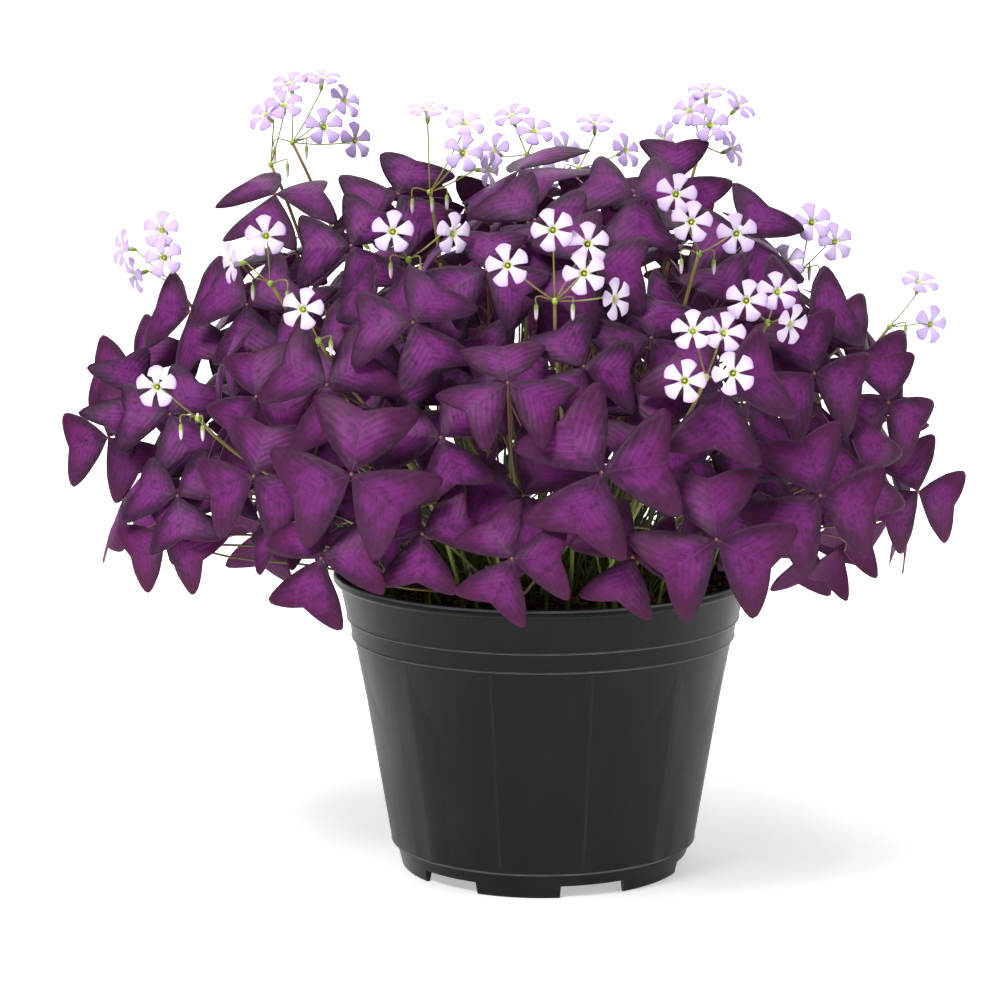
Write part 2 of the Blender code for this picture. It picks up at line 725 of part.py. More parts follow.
def grow_leaf(leaf, push, steps, growth):
    """Slide a leaf to the first place where its blade is clear and its petiole finds a way."""
    first_hub, spin, tilt, turn, length = leaf.hub, leaf.spin, leaf.tilt, leaf.turn, leaf.length
    owner = ("crown", leaf.crown)
    for distance, wander in steps:
        leaf.hub = first_hub + push * (distance * MM)
        if wander:
            aim_leaf(leaf, turn, tilt + wander * random_source.uniform(-0.5, 0.5),
                     spin + wander * random_source.uniform(-1, 1))
            sideways = leaf.along[0] * random_source.uniform(-1, 1)
            sideways += leaf.side[0] * random_source.uniform(-1, 1)
            leaf.hub = leaf.hub + sideways * (wander * WANDER_SHIFT)
            leaf.length = length * (1 - wander * WANDER_SHRINK)
        verts, faces, ring = blade_skin(leaf, BLADE_THICKNESS + 2 * BLADE_CLEARANCE, FULL_OUTLINE)
        guard = leaf.hub - leaf.out * HUB_GUARD_LENGTH
        sweep([leaf.hub, guard], [0, HUB_GUARD_RADIUS], ring, verts, faces)
        if BVHTree.FromPolygons(verts, faces).overlap(growth.everything):
            continue
        start = leaf.hub - leaf.out * PETIOLE_START
        foot = leaf.root + PETIOLE_FOOT
        found = growth.find_route(start, -leaf.out, foot, PETIOLE_STEPS, owner, 0, PETIOLE_TRIES)
        if found[0] == 0 and clears_own_blade(leaf, found[1]):
            leaf.route = found[1]
            verts, faces, ring = blade_skin(leaf, BLADE_THICKNESS, FULL_OUTLINE)
            growth.skins.append((owner, verts, faces))
            growth.add_stem(leaf.route, PETIOLE_STEPS, owner)
            return True
    return False


def clears_own_blade(leaf, route):
    """Whether a petiole, once it has left the hub, stays off its own blade."""
    verts, faces, ring = blade_skin(leaf, BLADE_THICKNESS, FULL_OUTLINE)
    tree = BVHTree.FromPolygons(verts, faces)
    for path in (bezier(route, PETIOLE_STEPS), bezier(route, SMOOTH_STEPS)):
        for point in along_path(path, STEM_SAMPLE)[2:]:
            away = (point - leaf.hub).length > OWN_BLADE_REACH
            if away and tree.find_nearest(point, BLADE_SPACING)[0]:
                return False
    return True


def slide_steps(nearest, furthest):
    """Distances to slide, the short ones first, each with the degrees it may wander."""
    steps = []
    for wander in WANDERS:
        for distance in sorted(range(nearest, furthest + 1, SLIDE_STEP), key=abs):
            steps.extend([(distance, wander)] * (1 if wander == 0 else WANDER_TRIES))
    return steps


def plan_leaves():
    """Every leaf's first place, the way it may slide and how far, the front ones first."""
    near = slide_steps(*FRONT_SLIDE)
    far = slide_steps(*OUTER_SLIDE)
    inner = slide_steps(*INNER_SLIDE)
    plans = []
    for across, up, turn, tilt, spin, length, depth in FRONT_LEAVES:
        hub, line = canopy_point(across, up, depth)
        size = length * MM * READ_SHARE * (hub.y - EYE.y) / -EYE.y
        plans.append((make_leaf(hub, turn, tilt, spin, size), line, near))
    for height, count, first, arc, shell in HIDDEN_ROWS:
        for i in range(count):
            bearing = first + arc * (i + 0.5) / count
            bearing += random_source.uniform(-BEARING_SPREAD, BEARING_SPREAD)
            a = math.radians(bearing)
            level = min(height + random_source.uniform(-LEVEL_SPREAD, LEVEL_SPREAD), 1)
            spread = math.sqrt(1 - level * level)
            out = Vector((math.sin(a) * spread, -math.cos(a) * spread, level))
            hub = CANOPY_CENTRE + Vector([out[k] * CANOPY_AXES[k] for k in range(3)]) * shell
            share = (level - LOWEST_LEVEL) / (1 - LOWEST_LEVEL)
            tilt = HIDDEN_TILT_LOW + (HIDDEN_TILT_HIGH - HIDDEN_TILT_LOW) * share
            tilt += random_source.uniform(-TILT_SPREAD, TILT_SPREAD)
            length = HIDDEN_LEAF_LENGTH + random_source.uniform(-1, 1) * HIDDEN_LENGTH_SPREAD
            spin = random_source.uniform(0, 120)
            turn = bearing + random_source.uniform(-TURN_SPREAD, TURN_SPREAD)
            leaf = make_leaf(hub, turn, tilt, spin, length * MM)
            plans.append((leaf, -out, far if shell == 1 else inner))
    for number, plan in enumerate(plans):
        plan[0].number = number
    return plans


def root_places(count):
    """Places on the soil, spread like the seeds of a sunflower."""
    places = []
    for i in range(count):
        reach = ROOT_DISC_RADIUS * math.sqrt((i + 0.5) / count)
        angle = math.radians(GOLDEN_ANGLE * i)
        places.append(Vector((math.cos(angle) * reach, math.sin(angle) * reach, SOIL_HEIGHT)))
    return places


def choose_roots(umbels, leaves):
    """Give each umbel a place of its own and each leaf a shared crown."""
    crowns = math.ceil(len(leaves) / LEAVES_PER_CROWN)
    places = root_places(len(umbels) + crowns)
    for umbel in umbels:
        wish = Vector((umbel.core.x, umbel.core.y, 0)) * ROOT_PULL
        umbel.root = min(places, key=lambda p: (p.xy - wish.xy).length)
        places.remove(umbel.root)
    room = {i: LEAVES_PER_CROWN for i in range(len(places))}
    for leaf in sorted(leaves, key=lambda item: -item.hub.xy.length):
        wish = leaf.hub.xy * ROOT_PULL
        free = [i for i in room if room[i]]
        leaf.crown = min(free, key=lambda i: (places[i].xy - wish).length)
        room[leaf.crown] -= 1
    for i, place in enumerate(places):
        seat_leaves(place, [leaf for leaf in leaves if leaf.crown == i])
    return places


def seat_leaves(place, grown):
    """Seat each petiole on its own side of the crown, the side that its leaf lies on."""
    def bearing(leaf):
        away = leaf.hub.xy - place.xy
        return math.atan2(away.y, away.x)

    grown.sort(key=bearing)
    offsets = [bearing(leaf) - math.tau * i / len(grown) for i, leaf in enumerate(grown)]
    first = sum(offsets) / max(1, len(grown))
    for i, leaf in enumerate(grown):
        angle = first + math.tau * i / len(grown)
        reach = CROWN_SEAT if len(grown) > 1 else 0
        leaf.root = place + Vector((math.cos(angle), math.sin(angle), 0)) * reach


def along_path(path, spacing):
    """Points along a broken line, no further apart than the spacing."""
    points = []
    for a, b in zip(path, path[1:]):
        steps = max(1, math.ceil((b - a).length / spacing))
        points.extend(a.lerp(b, i / steps) for i in range(steps))
    points.append(path[-1])
    return points


def grow(umbels, plans):
    """Lay the scapes, then grow the leaves one by one, each clear of all before it."""
    growth = Growth()
    leaves = [leaf for leaf, push, steps in plans]
    crowns = choose_roots(umbels, leaves)
    for umbel in umbels:
        growth.skins.extend(umbel_skins(umbel))
    for i, place in enumerate(crowns):
        rise = place + Vector((0, 0, CROWN_TOP + BLADE_CLEARANCE))
        growth.points.extend(along_path([place, rise], STEM_SAMPLE))
        growth.owners.extend([("crown", i)] * (len(growth.points) - len(growth.owners)))
    for umbel in umbels:
        growth.points.append(umbel.root)
        growth.owners.append(umbel.name)
    growth.refresh()
    for umbel in umbels:
        inward = -umbel.core.xy * SCAPE_SPREAD
        leave = Vector((inward.x, inward.y, -SCAPE_DIP)).normalized()
        foot = umbel.root + SCAPE_FOOT
        found = growth.find_route(umbel.core, leave, foot, SCAPE_STEPS, umbel.name,
                                  SCAPE_FREE_LENGTH, SCAPE_TRIES)
        umbel.route = found[1]
        growth.add_stem(umbel.route, SCAPE_STEPS, umbel.name)
    grown = []
    for leaf, push, steps in plans:
        if grow_leaf(leaf, push, steps, growth):
            grown.append(leaf)
    tufts = []
    for i, place in enumerate(crowns):
        members = [leaf for leaf in grown if leaf.crown == i]
        if members:
            tufts.append((place, members))
    return tufts


def core_object(name, centre, radius, material):
    """A small eight-faced body where an umbel's stalks meet."""
    points = [Vector((0, 0, -radius)), Vector((0, 0, radius))]
    for i in range(4):
        angle = math.tau * i / 4
        points.append(Vector((math.cos(angle) * radius, math.sin(angle) * radius, 0)))
    faces = []
    for i in range(4):
        faces.append((0, 2 + (i + 1) % 4, 2 + i))
        faces.append((1, 2 + i, 2 + (i + 1) % 4))
    return make_object(name, [centre + p for p in points], faces, material)


def build_umbel(umbel, material):
    """Scape, core, pedicels, flowers and buds in one body."""
    core = core_object(umbel.name, umbel.core, UMBEL_CORE_RADIUS, material)
    pieces = []
    for i, flower in enumerate(umbel.flowers):
        pieces.append(flower_object(f"flower_{i}", flower, umbel.core))
    for i, bud in enumerate(umbel.buds):
        pieces.append(bud_object(f"bud_{i}", umbel.core, bud))
    path = bezier(umbel.route, SCAPE_STEPS)
    path.append(umbel.root - Vector((0, 0, HOLE_DEPTH - FOOT_ROOM)))
    pieces.append(tube_object("scape", path, [SCAPE_RADIUS] * len(path), STALK_SIDES))
    boolean(core, pieces, "UNION", "MANIFOLD")
    return core


def build_tuft(name, place, leaves, material):
    """A crown in the soil and the leaves that grow from it, in one body."""
    foot = place - Vector((0, 0, HOLE_DEPTH - FOOT_ROOM))
    top = place + Vector((0, 0, CROWN_TOP))
    crown = tube_object(name, [foot, top], [CROWN_RADIUS] * 2, HOLE_SIDES, None, material)
    pieces = [leaf_object(f"leaf_{leaf.number}", leaf, None) for leaf in leaves]
    boolean(crown, pieces, "UNION", "MANIFOLD")
    return crown


def build_pot(material):
    """Foot ring, tapered wall with two steps, and a rolled lip."""
    upper, lower = RIB_HEIGHTS
    lip_bottom = POT_HEIGHT - LIP_DEPTH
    foot_inside = BODY_FOOT_RADIUS - POT_WALL
    profile = [
        (0, 0),
        (REST_DISC_RADIUS, 0),
        (REST_DISC_RADIUS + FOOT_SLOPE, FLOOR_UNDERSIDE),
        (FOOT_RADIUS - FOOT_WALL - FOOT_SLOPE, FLOOR_UNDERSIDE),
        (FOOT_RADIUS - FOOT_WALL, 0),
        (FOOT_RADIUS, 0),
        (FOOT_TOP_RADIUS, FOOT_TOP_HEIGHT),
        (BODY_FOOT_RADIUS, BODY_FOOT_HEIGHT),
        (RIB_RADII[1] - RIB_STEP, lower - RIB_RISE),
        (RIB_RADII[1], lower),
        (RIB_RADII[0] - RIB_STEP, upper - RIB_RISE),
        (RIB_RADII[0], upper),
        (LIP_RADIUS - LIP_FLARE, lip_bottom),
        (LIP_RADIUS, lip_bottom + EDGE_EASE),
        (LIP_RADIUS, POT_HEIGHT - EDGE_EASE),
        (LIP_RADIUS - RIM_SLOPE, POT_HEIGHT),
        (LIP_RADIUS - RIM_WIDTH, POT_HEIGHT),
        (RIB_RADII[0] - POT_WALL, WALL_TURN_HEIGHT),
        (foot_inside, FLOOR_TOP + FLOOR_CORNER),
        (foot_inside - FLOOR_CORNER, FLOOR_TOP),
        (0, FLOOR_TOP),
    ]
    pot = turned_solid("pot", profile, POT_SEGMENTS, material)
    cutters = []
    for i in range(NOTCH_COUNT):
        angle = math.radians(NOTCH_FIRST_BEARING + 360 / NOTCH_COUNT * i)
        spot = Vector((math.cos(angle), math.sin(angle), 0)) * (FOOT_RADIUS - FOOT_WALL / 2)
        size = Vector((NOTCH_CUT_DEPTH, NOTCH_WIDTH, 2 * NOTCH_HEIGHT))
        cutters.append(box(f"notch_{i}", spot, size, angle))
    for i in range(DRAIN_COUNT):
        angle = math.tau * (i + 0.5) / DRAIN_COUNT
        spot = Vector((math.cos(angle), math.sin(angle), 0)) * DRAIN_CIRCLE
        low = spot + Vector((0, 0, DRAIN_CUT_FOOT))
        high = spot + Vector((0, 0, FLOOR_TOP + FLOOR_CORNER))
        cutters.append(tube_object(f"drain_{i}", [low, high], [DRAIN_RADIUS] * 2, DRAIN_SIDES))
    boolean(pot, cutters, "DIFFERENCE", "MANIFOLD")
    return pot


def turned_solid(name, profile, segments, material):
    """A profile that starts and ends on the Z axis, turned round it."""
    verts = [Vector((0, 0, profile[0][1])), Vector((0, 0, profile[-1][1]))]
    faces = []
    inner = profile[1:-1]
    count = len(inner)
    for s in range(segments):
        angle = math.tau * s / segments
        for radius, height in inner:
            verts.append(Vector((math.cos(angle) * radius, math.sin(angle) * radius, height)))
    for s in range(segments):
        t = (s + 1) % segments
        a, b = 2 + s * count, 2 + t * count
        faces.append((0, b, a))
        faces.append((1, a + count - 1, b + count - 1))
        for i in range(count - 1):
            faces.append((a + i, b + i, b + i + 1, a + i + 1))
    return make_object(name, verts, faces, material)


def box(name, centre, size, angle):
    """A box turned round Z."""
    mesh = bpy.data.meshes.new(name)
    shape = bmesh.new()
    place = Matrix.Translation(centre) @ Matrix.Rotation(angle, 4, "Z")
    bmesh.ops.create_cube(shape, size=1, matrix=place @ Matrix.Diagonal((*size, 1)))
    shape.to_mesh(mesh)
    shape.free()
    item = bpy.data.objects.new(name, mesh)
    bpy.context.collection.objects.link(item)
    return item


def build_soil(crowns, umbels, material):
    """Potting soil, a little uneven on top, with a plain hole for each crown and scape."""
    foot_inside = BODY_FOOT_RADIUS - POT_WALL
    foot_height = FLOOR_TOP + FLOOR_CORNER
    wall_inside = RIB_RADII[0] - POT_WALL
    past = (SOIL_HEIGHT - WALL_TURN_HEIGHT) / (POT_HEIGHT - WALL_TURN_HEIGHT)
    top_inside = wall_inside + (LIP_RADIUS - RIM_WIDTH - wall_inside) * past
    profile = [
        (0, FLOOR_TOP + GAP),
        (foot_inside - FLOOR_CORNER - 2 * GAP, FLOOR_TOP + GAP),
        (foot_inside - 2 * GAP, foot_height + GAP),
        (wall_inside - 2 * GAP, WALL_TURN_HEIGHT),
        (top_inside - 3 * GAP, SOIL_HEIGHT - SOIL_EDGE_DROP),
        (top_inside - SOIL_SHOULDER, SOIL_HEIGHT),
    ]
    for share in SOIL_RING_SHARES:
        profile.append((top_inside * share, SOIL_HEIGHT))
    profile.append((0, SOIL_HEIGHT))
    soil = turned_solid("soil", profile, SOIL_SEGMENTS, material)
    uneven = random.Random(SOIL_SEED)
    for vert in soil.data.vertices:
        if vert.co.z > SOIL_HEIGHT - SOIL_EDGE_DROP / 2:
            vert.co.z += uneven.uniform(-1, 1) * SOIL_RELIEF
    cutters = []
    crown_reach = CROWN_RADIUS + SEAT_GAP / math.cos(math.pi / HOLE_SIDES)
    scape_reach = (SCAPE_RADIUS + SEAT_GAP) / math.cos(math.pi / SCAPE_HOLE_SIDES)
    holes = [(place, crown_reach, HOLE_SIDES) for place in crowns]
    holes += [(umbel.root, scape_reach, SCAPE_HOLE_SIDES) for umbel in umbels]
    for i, (place, reach, sides) in enumerate(holes):
        path = [place - Vector((0, 0, HOLE_DEPTH)), place + Vector((0, 0, HOLE_TOP))]
        cutters.append(tube_object(f"hole_{i}", path, [reach] * 2, sides))
    boolean(soil, cutters, "DIFFERENCE")
    return soil


def build():
    """Every part of the plant and its pot."""
    clear_scene()
    pot_plastic = make_material("pot_plastic", (0.022, 0.022, 0.025), 0.42)
    potting_soil = make_material("potting_soil", (0.030, 0.020, 0.013), 0.95)
    leaf_surface = make_material("leaf_surface", (0.070, 0.008, 0.070), 0.55)
    flower_surface = make_material("flower_surface", (0.72, 0.55, 0.85), 0.55)
    umbels = make_umbels()
    tufts = grow(umbels, plan_leaves())
    build_pot(pot_plastic)
    build_soil([place for place, members in tufts], umbels, potting_soil)
    for umbel in umbels:
        build_umbel(umbel, flower_surface)
    for i, (place, members) in enumerate(tufts):
        build_tuft(f"leaf_tuft_{i + 1:02d}", place, members, leaf_surface)
    for item in bpy.data.objects:
        item.data.shade_smooth()
        item.data.set_sharp_from_angle(angle=SHARP_ANGLE)


build()
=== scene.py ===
# %% [markdown]
# Purple shamrock (Oxalis triangularis) in its black nursery pot.
# The solid model is loaded first, as a fixed frame. It says where each leaf, flower and
# the pot is. This script dresses it: finer shapes in the same places, with materials.

# %% Load the frame
import math
import random
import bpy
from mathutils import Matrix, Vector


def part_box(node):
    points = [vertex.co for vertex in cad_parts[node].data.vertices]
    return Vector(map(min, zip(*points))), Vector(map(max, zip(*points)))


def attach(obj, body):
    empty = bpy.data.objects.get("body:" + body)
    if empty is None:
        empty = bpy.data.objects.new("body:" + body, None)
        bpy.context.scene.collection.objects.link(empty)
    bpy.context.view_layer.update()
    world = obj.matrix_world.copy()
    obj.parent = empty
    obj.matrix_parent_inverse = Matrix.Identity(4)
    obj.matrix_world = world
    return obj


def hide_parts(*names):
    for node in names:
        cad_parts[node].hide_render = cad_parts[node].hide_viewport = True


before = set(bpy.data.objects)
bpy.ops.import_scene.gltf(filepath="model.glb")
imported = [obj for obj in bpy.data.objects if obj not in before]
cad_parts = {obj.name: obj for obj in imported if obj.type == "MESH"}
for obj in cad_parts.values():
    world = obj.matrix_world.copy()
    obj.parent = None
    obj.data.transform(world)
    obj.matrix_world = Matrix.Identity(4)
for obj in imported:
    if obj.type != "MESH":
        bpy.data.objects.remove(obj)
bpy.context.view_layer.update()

from types import SimpleNamespace

import bmesh
import bpy
from mathutils import Matrix, Vector, noise
from mathutils.bvhtree import BVHTree
from mathutils.kdtree import KDTree

MM = 0.001
print("frame nodes:", len(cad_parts))

# %% [markdown]
# The camera stands where the picture was taken: about 1.65 m in front of the pot, a
# little above the plant and looking down by 9.7 degrees through a long lens. The lens
# comes first because every later choice is judged through it.

# %% Camera
EYE = Vector((0, -1654 * MM, 473 * MM))
LOOK_DOWN = 9.7232
LENS_MM = 117.95
SENSOR_MM = 36.0
POT_RIGHT_OF_CENTRE = 0.043


def add_camera():
    lens = bpy.data.cameras.new("camera")
    lens.sensor_width = SENSOR_MM
    lens.lens = LENS_MM
    lens.shift_x = -POT_RIGHT_OF_CENTRE
    lens.clip_end = 50
    item = bpy.data.objects.new("camera", lens)
    item.location = EYE
    item.rotation_euler = (math.radians(90 - LOOK_DOWN), 0, 0)
    bpy.context.scene.collection.objects.link(item)
    bpy.context.scene.camera = item
    return item


camera = add_camera()
print("camera", tuple(round(v, 3) for v in camera.location))

# %% [markdown]
# The studio is a pale floor that curves up behind the plant, so no horizon shows. A big
# soft box above the camera's left shoulder is the main light, a weaker one on the right
# fills the shadows, and one overhead and behind lights the floor nearly white. The
# Standard view keeps the leaf colours as they are mixed here.

# %% Studio
FLOOR_HALF_WIDTH = 4.0
FLOOR_FRONT = -3.0
SWEEP_START = 1.6
SWEEP_RADIUS = 1.2
SWEEP_STEPS = 16
WALL_TOP = 5.0


def add_floor(material):
    rows = [(FLOOR_FRONT, 0.0), (SWEEP_START, 0.0)]
    for i in range(1, SWEEP_STEPS + 1):
        a = math.pi / 2 * i / SWEEP_STEPS
        rows.append((SWEEP_START + SWEEP_RADIUS * math.sin(a), SWEEP_RADIUS * (1 - math.cos(a))))
    rows.append((SWEEP_START + SWEEP_RADIUS, WALL_TOP))
    verts = []
    faces = []
    for y, z in rows:
        verts.append((-FLOOR_HALF_WIDTH, y, z))
        verts.append((FLOOR_HALF_WIDTH, y, z))
    for a in range(0, 2 * len(rows) - 2, 2):
        faces.append((a, a + 1, a + 3, a + 2))
    mesh = bpy.data.meshes.new("studio_floor")
    mesh.from_pydata(verts, [], faces)
    mesh.shade_smooth()
    mesh.materials.append(material)
    item = bpy.data.objects.new("studio_floor", mesh)
    bpy.context.scene.collection.objects.link(item)


def add_softbox(name, place, aim, size, watts):
    light = bpy.data.lights.new(name, "AREA")
    light.shape = "SQUARE"
    light.size = size
    light.energy = watts
    item = bpy.data.objects.new(name, light)
    item.location = place
    item.rotation_euler = (Vector(aim) - Vector(place)).to_track_quat("-Z", "Y").to_euler()
    bpy.context.scene.collection.objects.link(item)


def light_room(strength):
    world = bpy.data.worlds.new("room")
    world.use_nodes = True
    world.node_tree.nodes["Background"].inputs["Color"].default_value = (1, 1, 1, 1)
    world.node_tree.nodes["Background"].inputs["Strength"].default_value = strength
    bpy.context.scene.world = world


ROOM_LIGHT = 0.09
SOFTBOXES = (
    ("key_light", (-0.9, -1.6, 2.2), (0, 0, 0.25), 0.8, 66),
    ("fill_light", (1.9, -1.1, 0.9), (0, 0, 0.2), 1.0, 9),
    ("top_light", (0.1, 0.4, 2.3), (0, 0, 0.2), 1.5, 18),
    ("backdrop_light", (0, 0.9, 1.6), (0, 3.0, 0.9), 1.6, 40),
)
light_room(ROOM_LIGHT)
for softbox in SOFTBOXES:
    add_softbox(*softbox)
bpy.context.scene.view_settings.view_transform = "Standard"
print("studio lit")

# %% [markdown]
# Three helpers carry every material. One turns an sRGB hex colour into the linear colour
# that a shader works in. One links or sets the inputs of a node. The third adds one node
# with its settings and its links, and gives back the output that the next node needs.
# Patterns are sized in real millimetres: a noise at scale one has lumps one unit wide,
# so the scale is one divided by the size of the lump.

# %% Helpers for materials
ALL = slice(None)


def paint(code):
    """An sRGB hex colour as a linear one."""
    linear = []
    for i in (0, 2, 4):
        c = int(code[i:i + 2], 16) / 255
        linear.append(c / 12.92 if c <= 0.04045 else ((c + 0.055) / 1.055) ** 2.4)
    return (*linear, 1.0)


def fill(tree, node, values):
    """Link each named input of a node, or set it on its own socket."""
    for name, value in values.items():
        if isinstance(value, bpy.types.NodeSocket):
            tree.links.new(value, node.inputs[name])
        else:
            node.inputs[name].default_value = value


def add_node(tree, kind, *values, out=0, stops=(), named=None, **settings):
    """One node with its settings, its values or links, and its colour stops."""
    made = tree.nodes.new("ShaderNode" + kind)
    for name, value in settings.items():
        setattr(made, name, value)
    fill(tree, made, dict(enumerate(values)) | (named or {}))
    for i, (place, code) in enumerate(stops):
        ramp = made.color_ramp.elements
        element = ramp[i] if i < len(ramp) else ramp.new(1.0)
        element.position = place
        element.color = paint(code)
    return made.outputs[out]


def new_material(name):
    material = bpy.data.materials.new(name)
    material.use_nodes = True
    return material, material.node_tree, material.node_tree.nodes["Principled BSDF"]


print("one millimetre as a scale:", 1 / MM)

# %% [markdown]
# The floor stands for the white acrylic of a light table: matte, a little brighter than
# its lighting alone would make it, so that only a soft shadow shows. Its faint clouds,
# 80 mm wide, keep it from being one flat colour.

# %% Backdrop
FLOOR_CLOUD = 80 * MM


def floor_paint():
    material, tree, shader = new_material("light_table_white_acrylic")
    where = add_node(tree, "TexCoord", out="Object")
    cloud = add_node(tree, "TexNoise", where, named={"Scale": 1 / FLOOR_CLOUD})
    colour = add_node(tree, "ValToRGB", cloud, stops=((0, "f9f9f9"), (1, "fbfbfb")))
    fill(tree, shader, {"Base Color": colour, "Roughness": 0.9, "Specular IOR Level": 0.1,
                        "Emission Color": paint("ffffff"), "Emission Strength": 0.45})
    return material


add_floor(floor_paint())
print("backdrop set")

# %% [markdown]
# The plant is laid out by the same rules as the solid model, so that every finer piece
# lands on its solid. Reading points back from the solids' meshes would be shorter, but
# would lose which leaf is whose. The canopy is a dome over the pot, a little wider than
# it is deep.

# %% Canopy
CANOPY_CENTRE = Vector((-12 * MM, 0, 190 * MM))
CANOPY_AXES = Vector((206 * MM, 203 * MM, 168 * MM))
print("canopy half axes in mm:", [round(v / MM) for v in CANOPY_AXES])

# %% [markdown]
# Each leaf is read across the front of the plant: its hub in millimetres across and up,
# the way it faces, its turn, the leaflet's length, and how deep it lies. The leaves that
# the front hides follow rows round the canopy.

# %% Leaf table
FRONT_LEAVES = (
    (30, 204, 0, 10, -38, 52, 0),
    (-98, 203, -5, 10, 9, 51, 0),
    (-10, 192, -10, 25, -90, 48, 8),
    (89, 169, 5, 15, -3, 50, 0),
    (142, 192, 12, 15, -15, 46, 4),
    (-18, 250, 0, 45, -6, 41, 0),
    (92, 247, 10, 20, 71, 47, 0),
    (-110, 249, -8, 20, 55, 42, 4),
    (-66, 281, 5, 32, 35, 40, 0),
    (20, 255, 12, 30, -30, 41, 14),
    (-194, 171, -18, 12, -1, 36, 0),
    (-114, 159, -15, 22, 78, 41, 0),
    (-16, 159, -5, 22, -34, 38, 0),
    (-148, 202, -15, 18, 7, 41, 10),
    (-222, 222, -12, 18, 18, 36, 0),
    (-208, 256, -22, 20, 30, 36, 12),
    (-179, 286, -35, 25, 35, 39, 0),
    (-135, 346, -10, 58, 70, 37, 0),
    (-97, 320, 0, 25, -90, 37, 0),
    (-114, 269, -10, 35, 45, 38, 16),
    (-146, 243, -20, 18, 105, 37, 18),
    (-73, 346, 0, 40, 20, 38, 10),
    (-4, 333, 0, 35, -40, 39, 0),
    (46, 345, 5, 42, 60, 39, 4),
    (68, 353, 5, 25, 0, 33, 20),
    (24, 312, 5, 32, 95, 40, 8),
    (-29, 308, -5, 35, 0, 36, 6),
    (55, 273, 10, 32, 20, 41, 6),
    (104, 324, 18, 32, 40, 40, 4),
    (135, 284, 28, 25, 75, 43, 0),
    (138, 255, 15, 15, -10, 42, 10),
    (162, 264, 25, 18, 105, 41, 12),
    (176, 240, 25, 15, 7, 38, 0),
    (192, 194, 16, 12, -10, 36, 0),
    (165, 205, 30, 15, 40, 38, 16),
    (-52, 222, -5, 25, 40, 38, 26),
    (58, 225, 5, 25, 10, 40, 26),
    (-62, 172, -8, 20, 65, 38, 22),
    (46, 160, 5, 20, 80, 36, 24),
    (100, 290, 15, 30, -20, 38, 22),
    (-40, 262, 0, 30, 80, 38, 26),
    (-4, 296, 0, 30, 20, 40, 44),
    (-150, 290, -20, 30, 50, 38, 30),
    (-72, 232, 0, 22, 10, 38, 46),
)
HIDDEN_ROWS = (
    (0.98, 3, 0, 360, 1.0),
    (0.90, 5, 64, 232, 1.0),
    (0.74, 7, 78, 204, 1.0),
    (0.50, 8, 72, 216, 1.0),
    (0.22, 9, 70, 220, 1.0),
    (0.01, 9, 64, 232, 1.0),
    (0.62, 3, -44, 88, 0.80),
    (0.36, 4, -60, 120, 0.80),
    (0.16, 3, -60, 120, 0.82),
)
print("front leaves:", len(FRONT_LEAVES))

# %% [markdown]
# The umbels are read in the same way: where the stalks meet, then each open flower with
# the way it faces, then the hanging buds. Two more rise unseen behind the canopy.

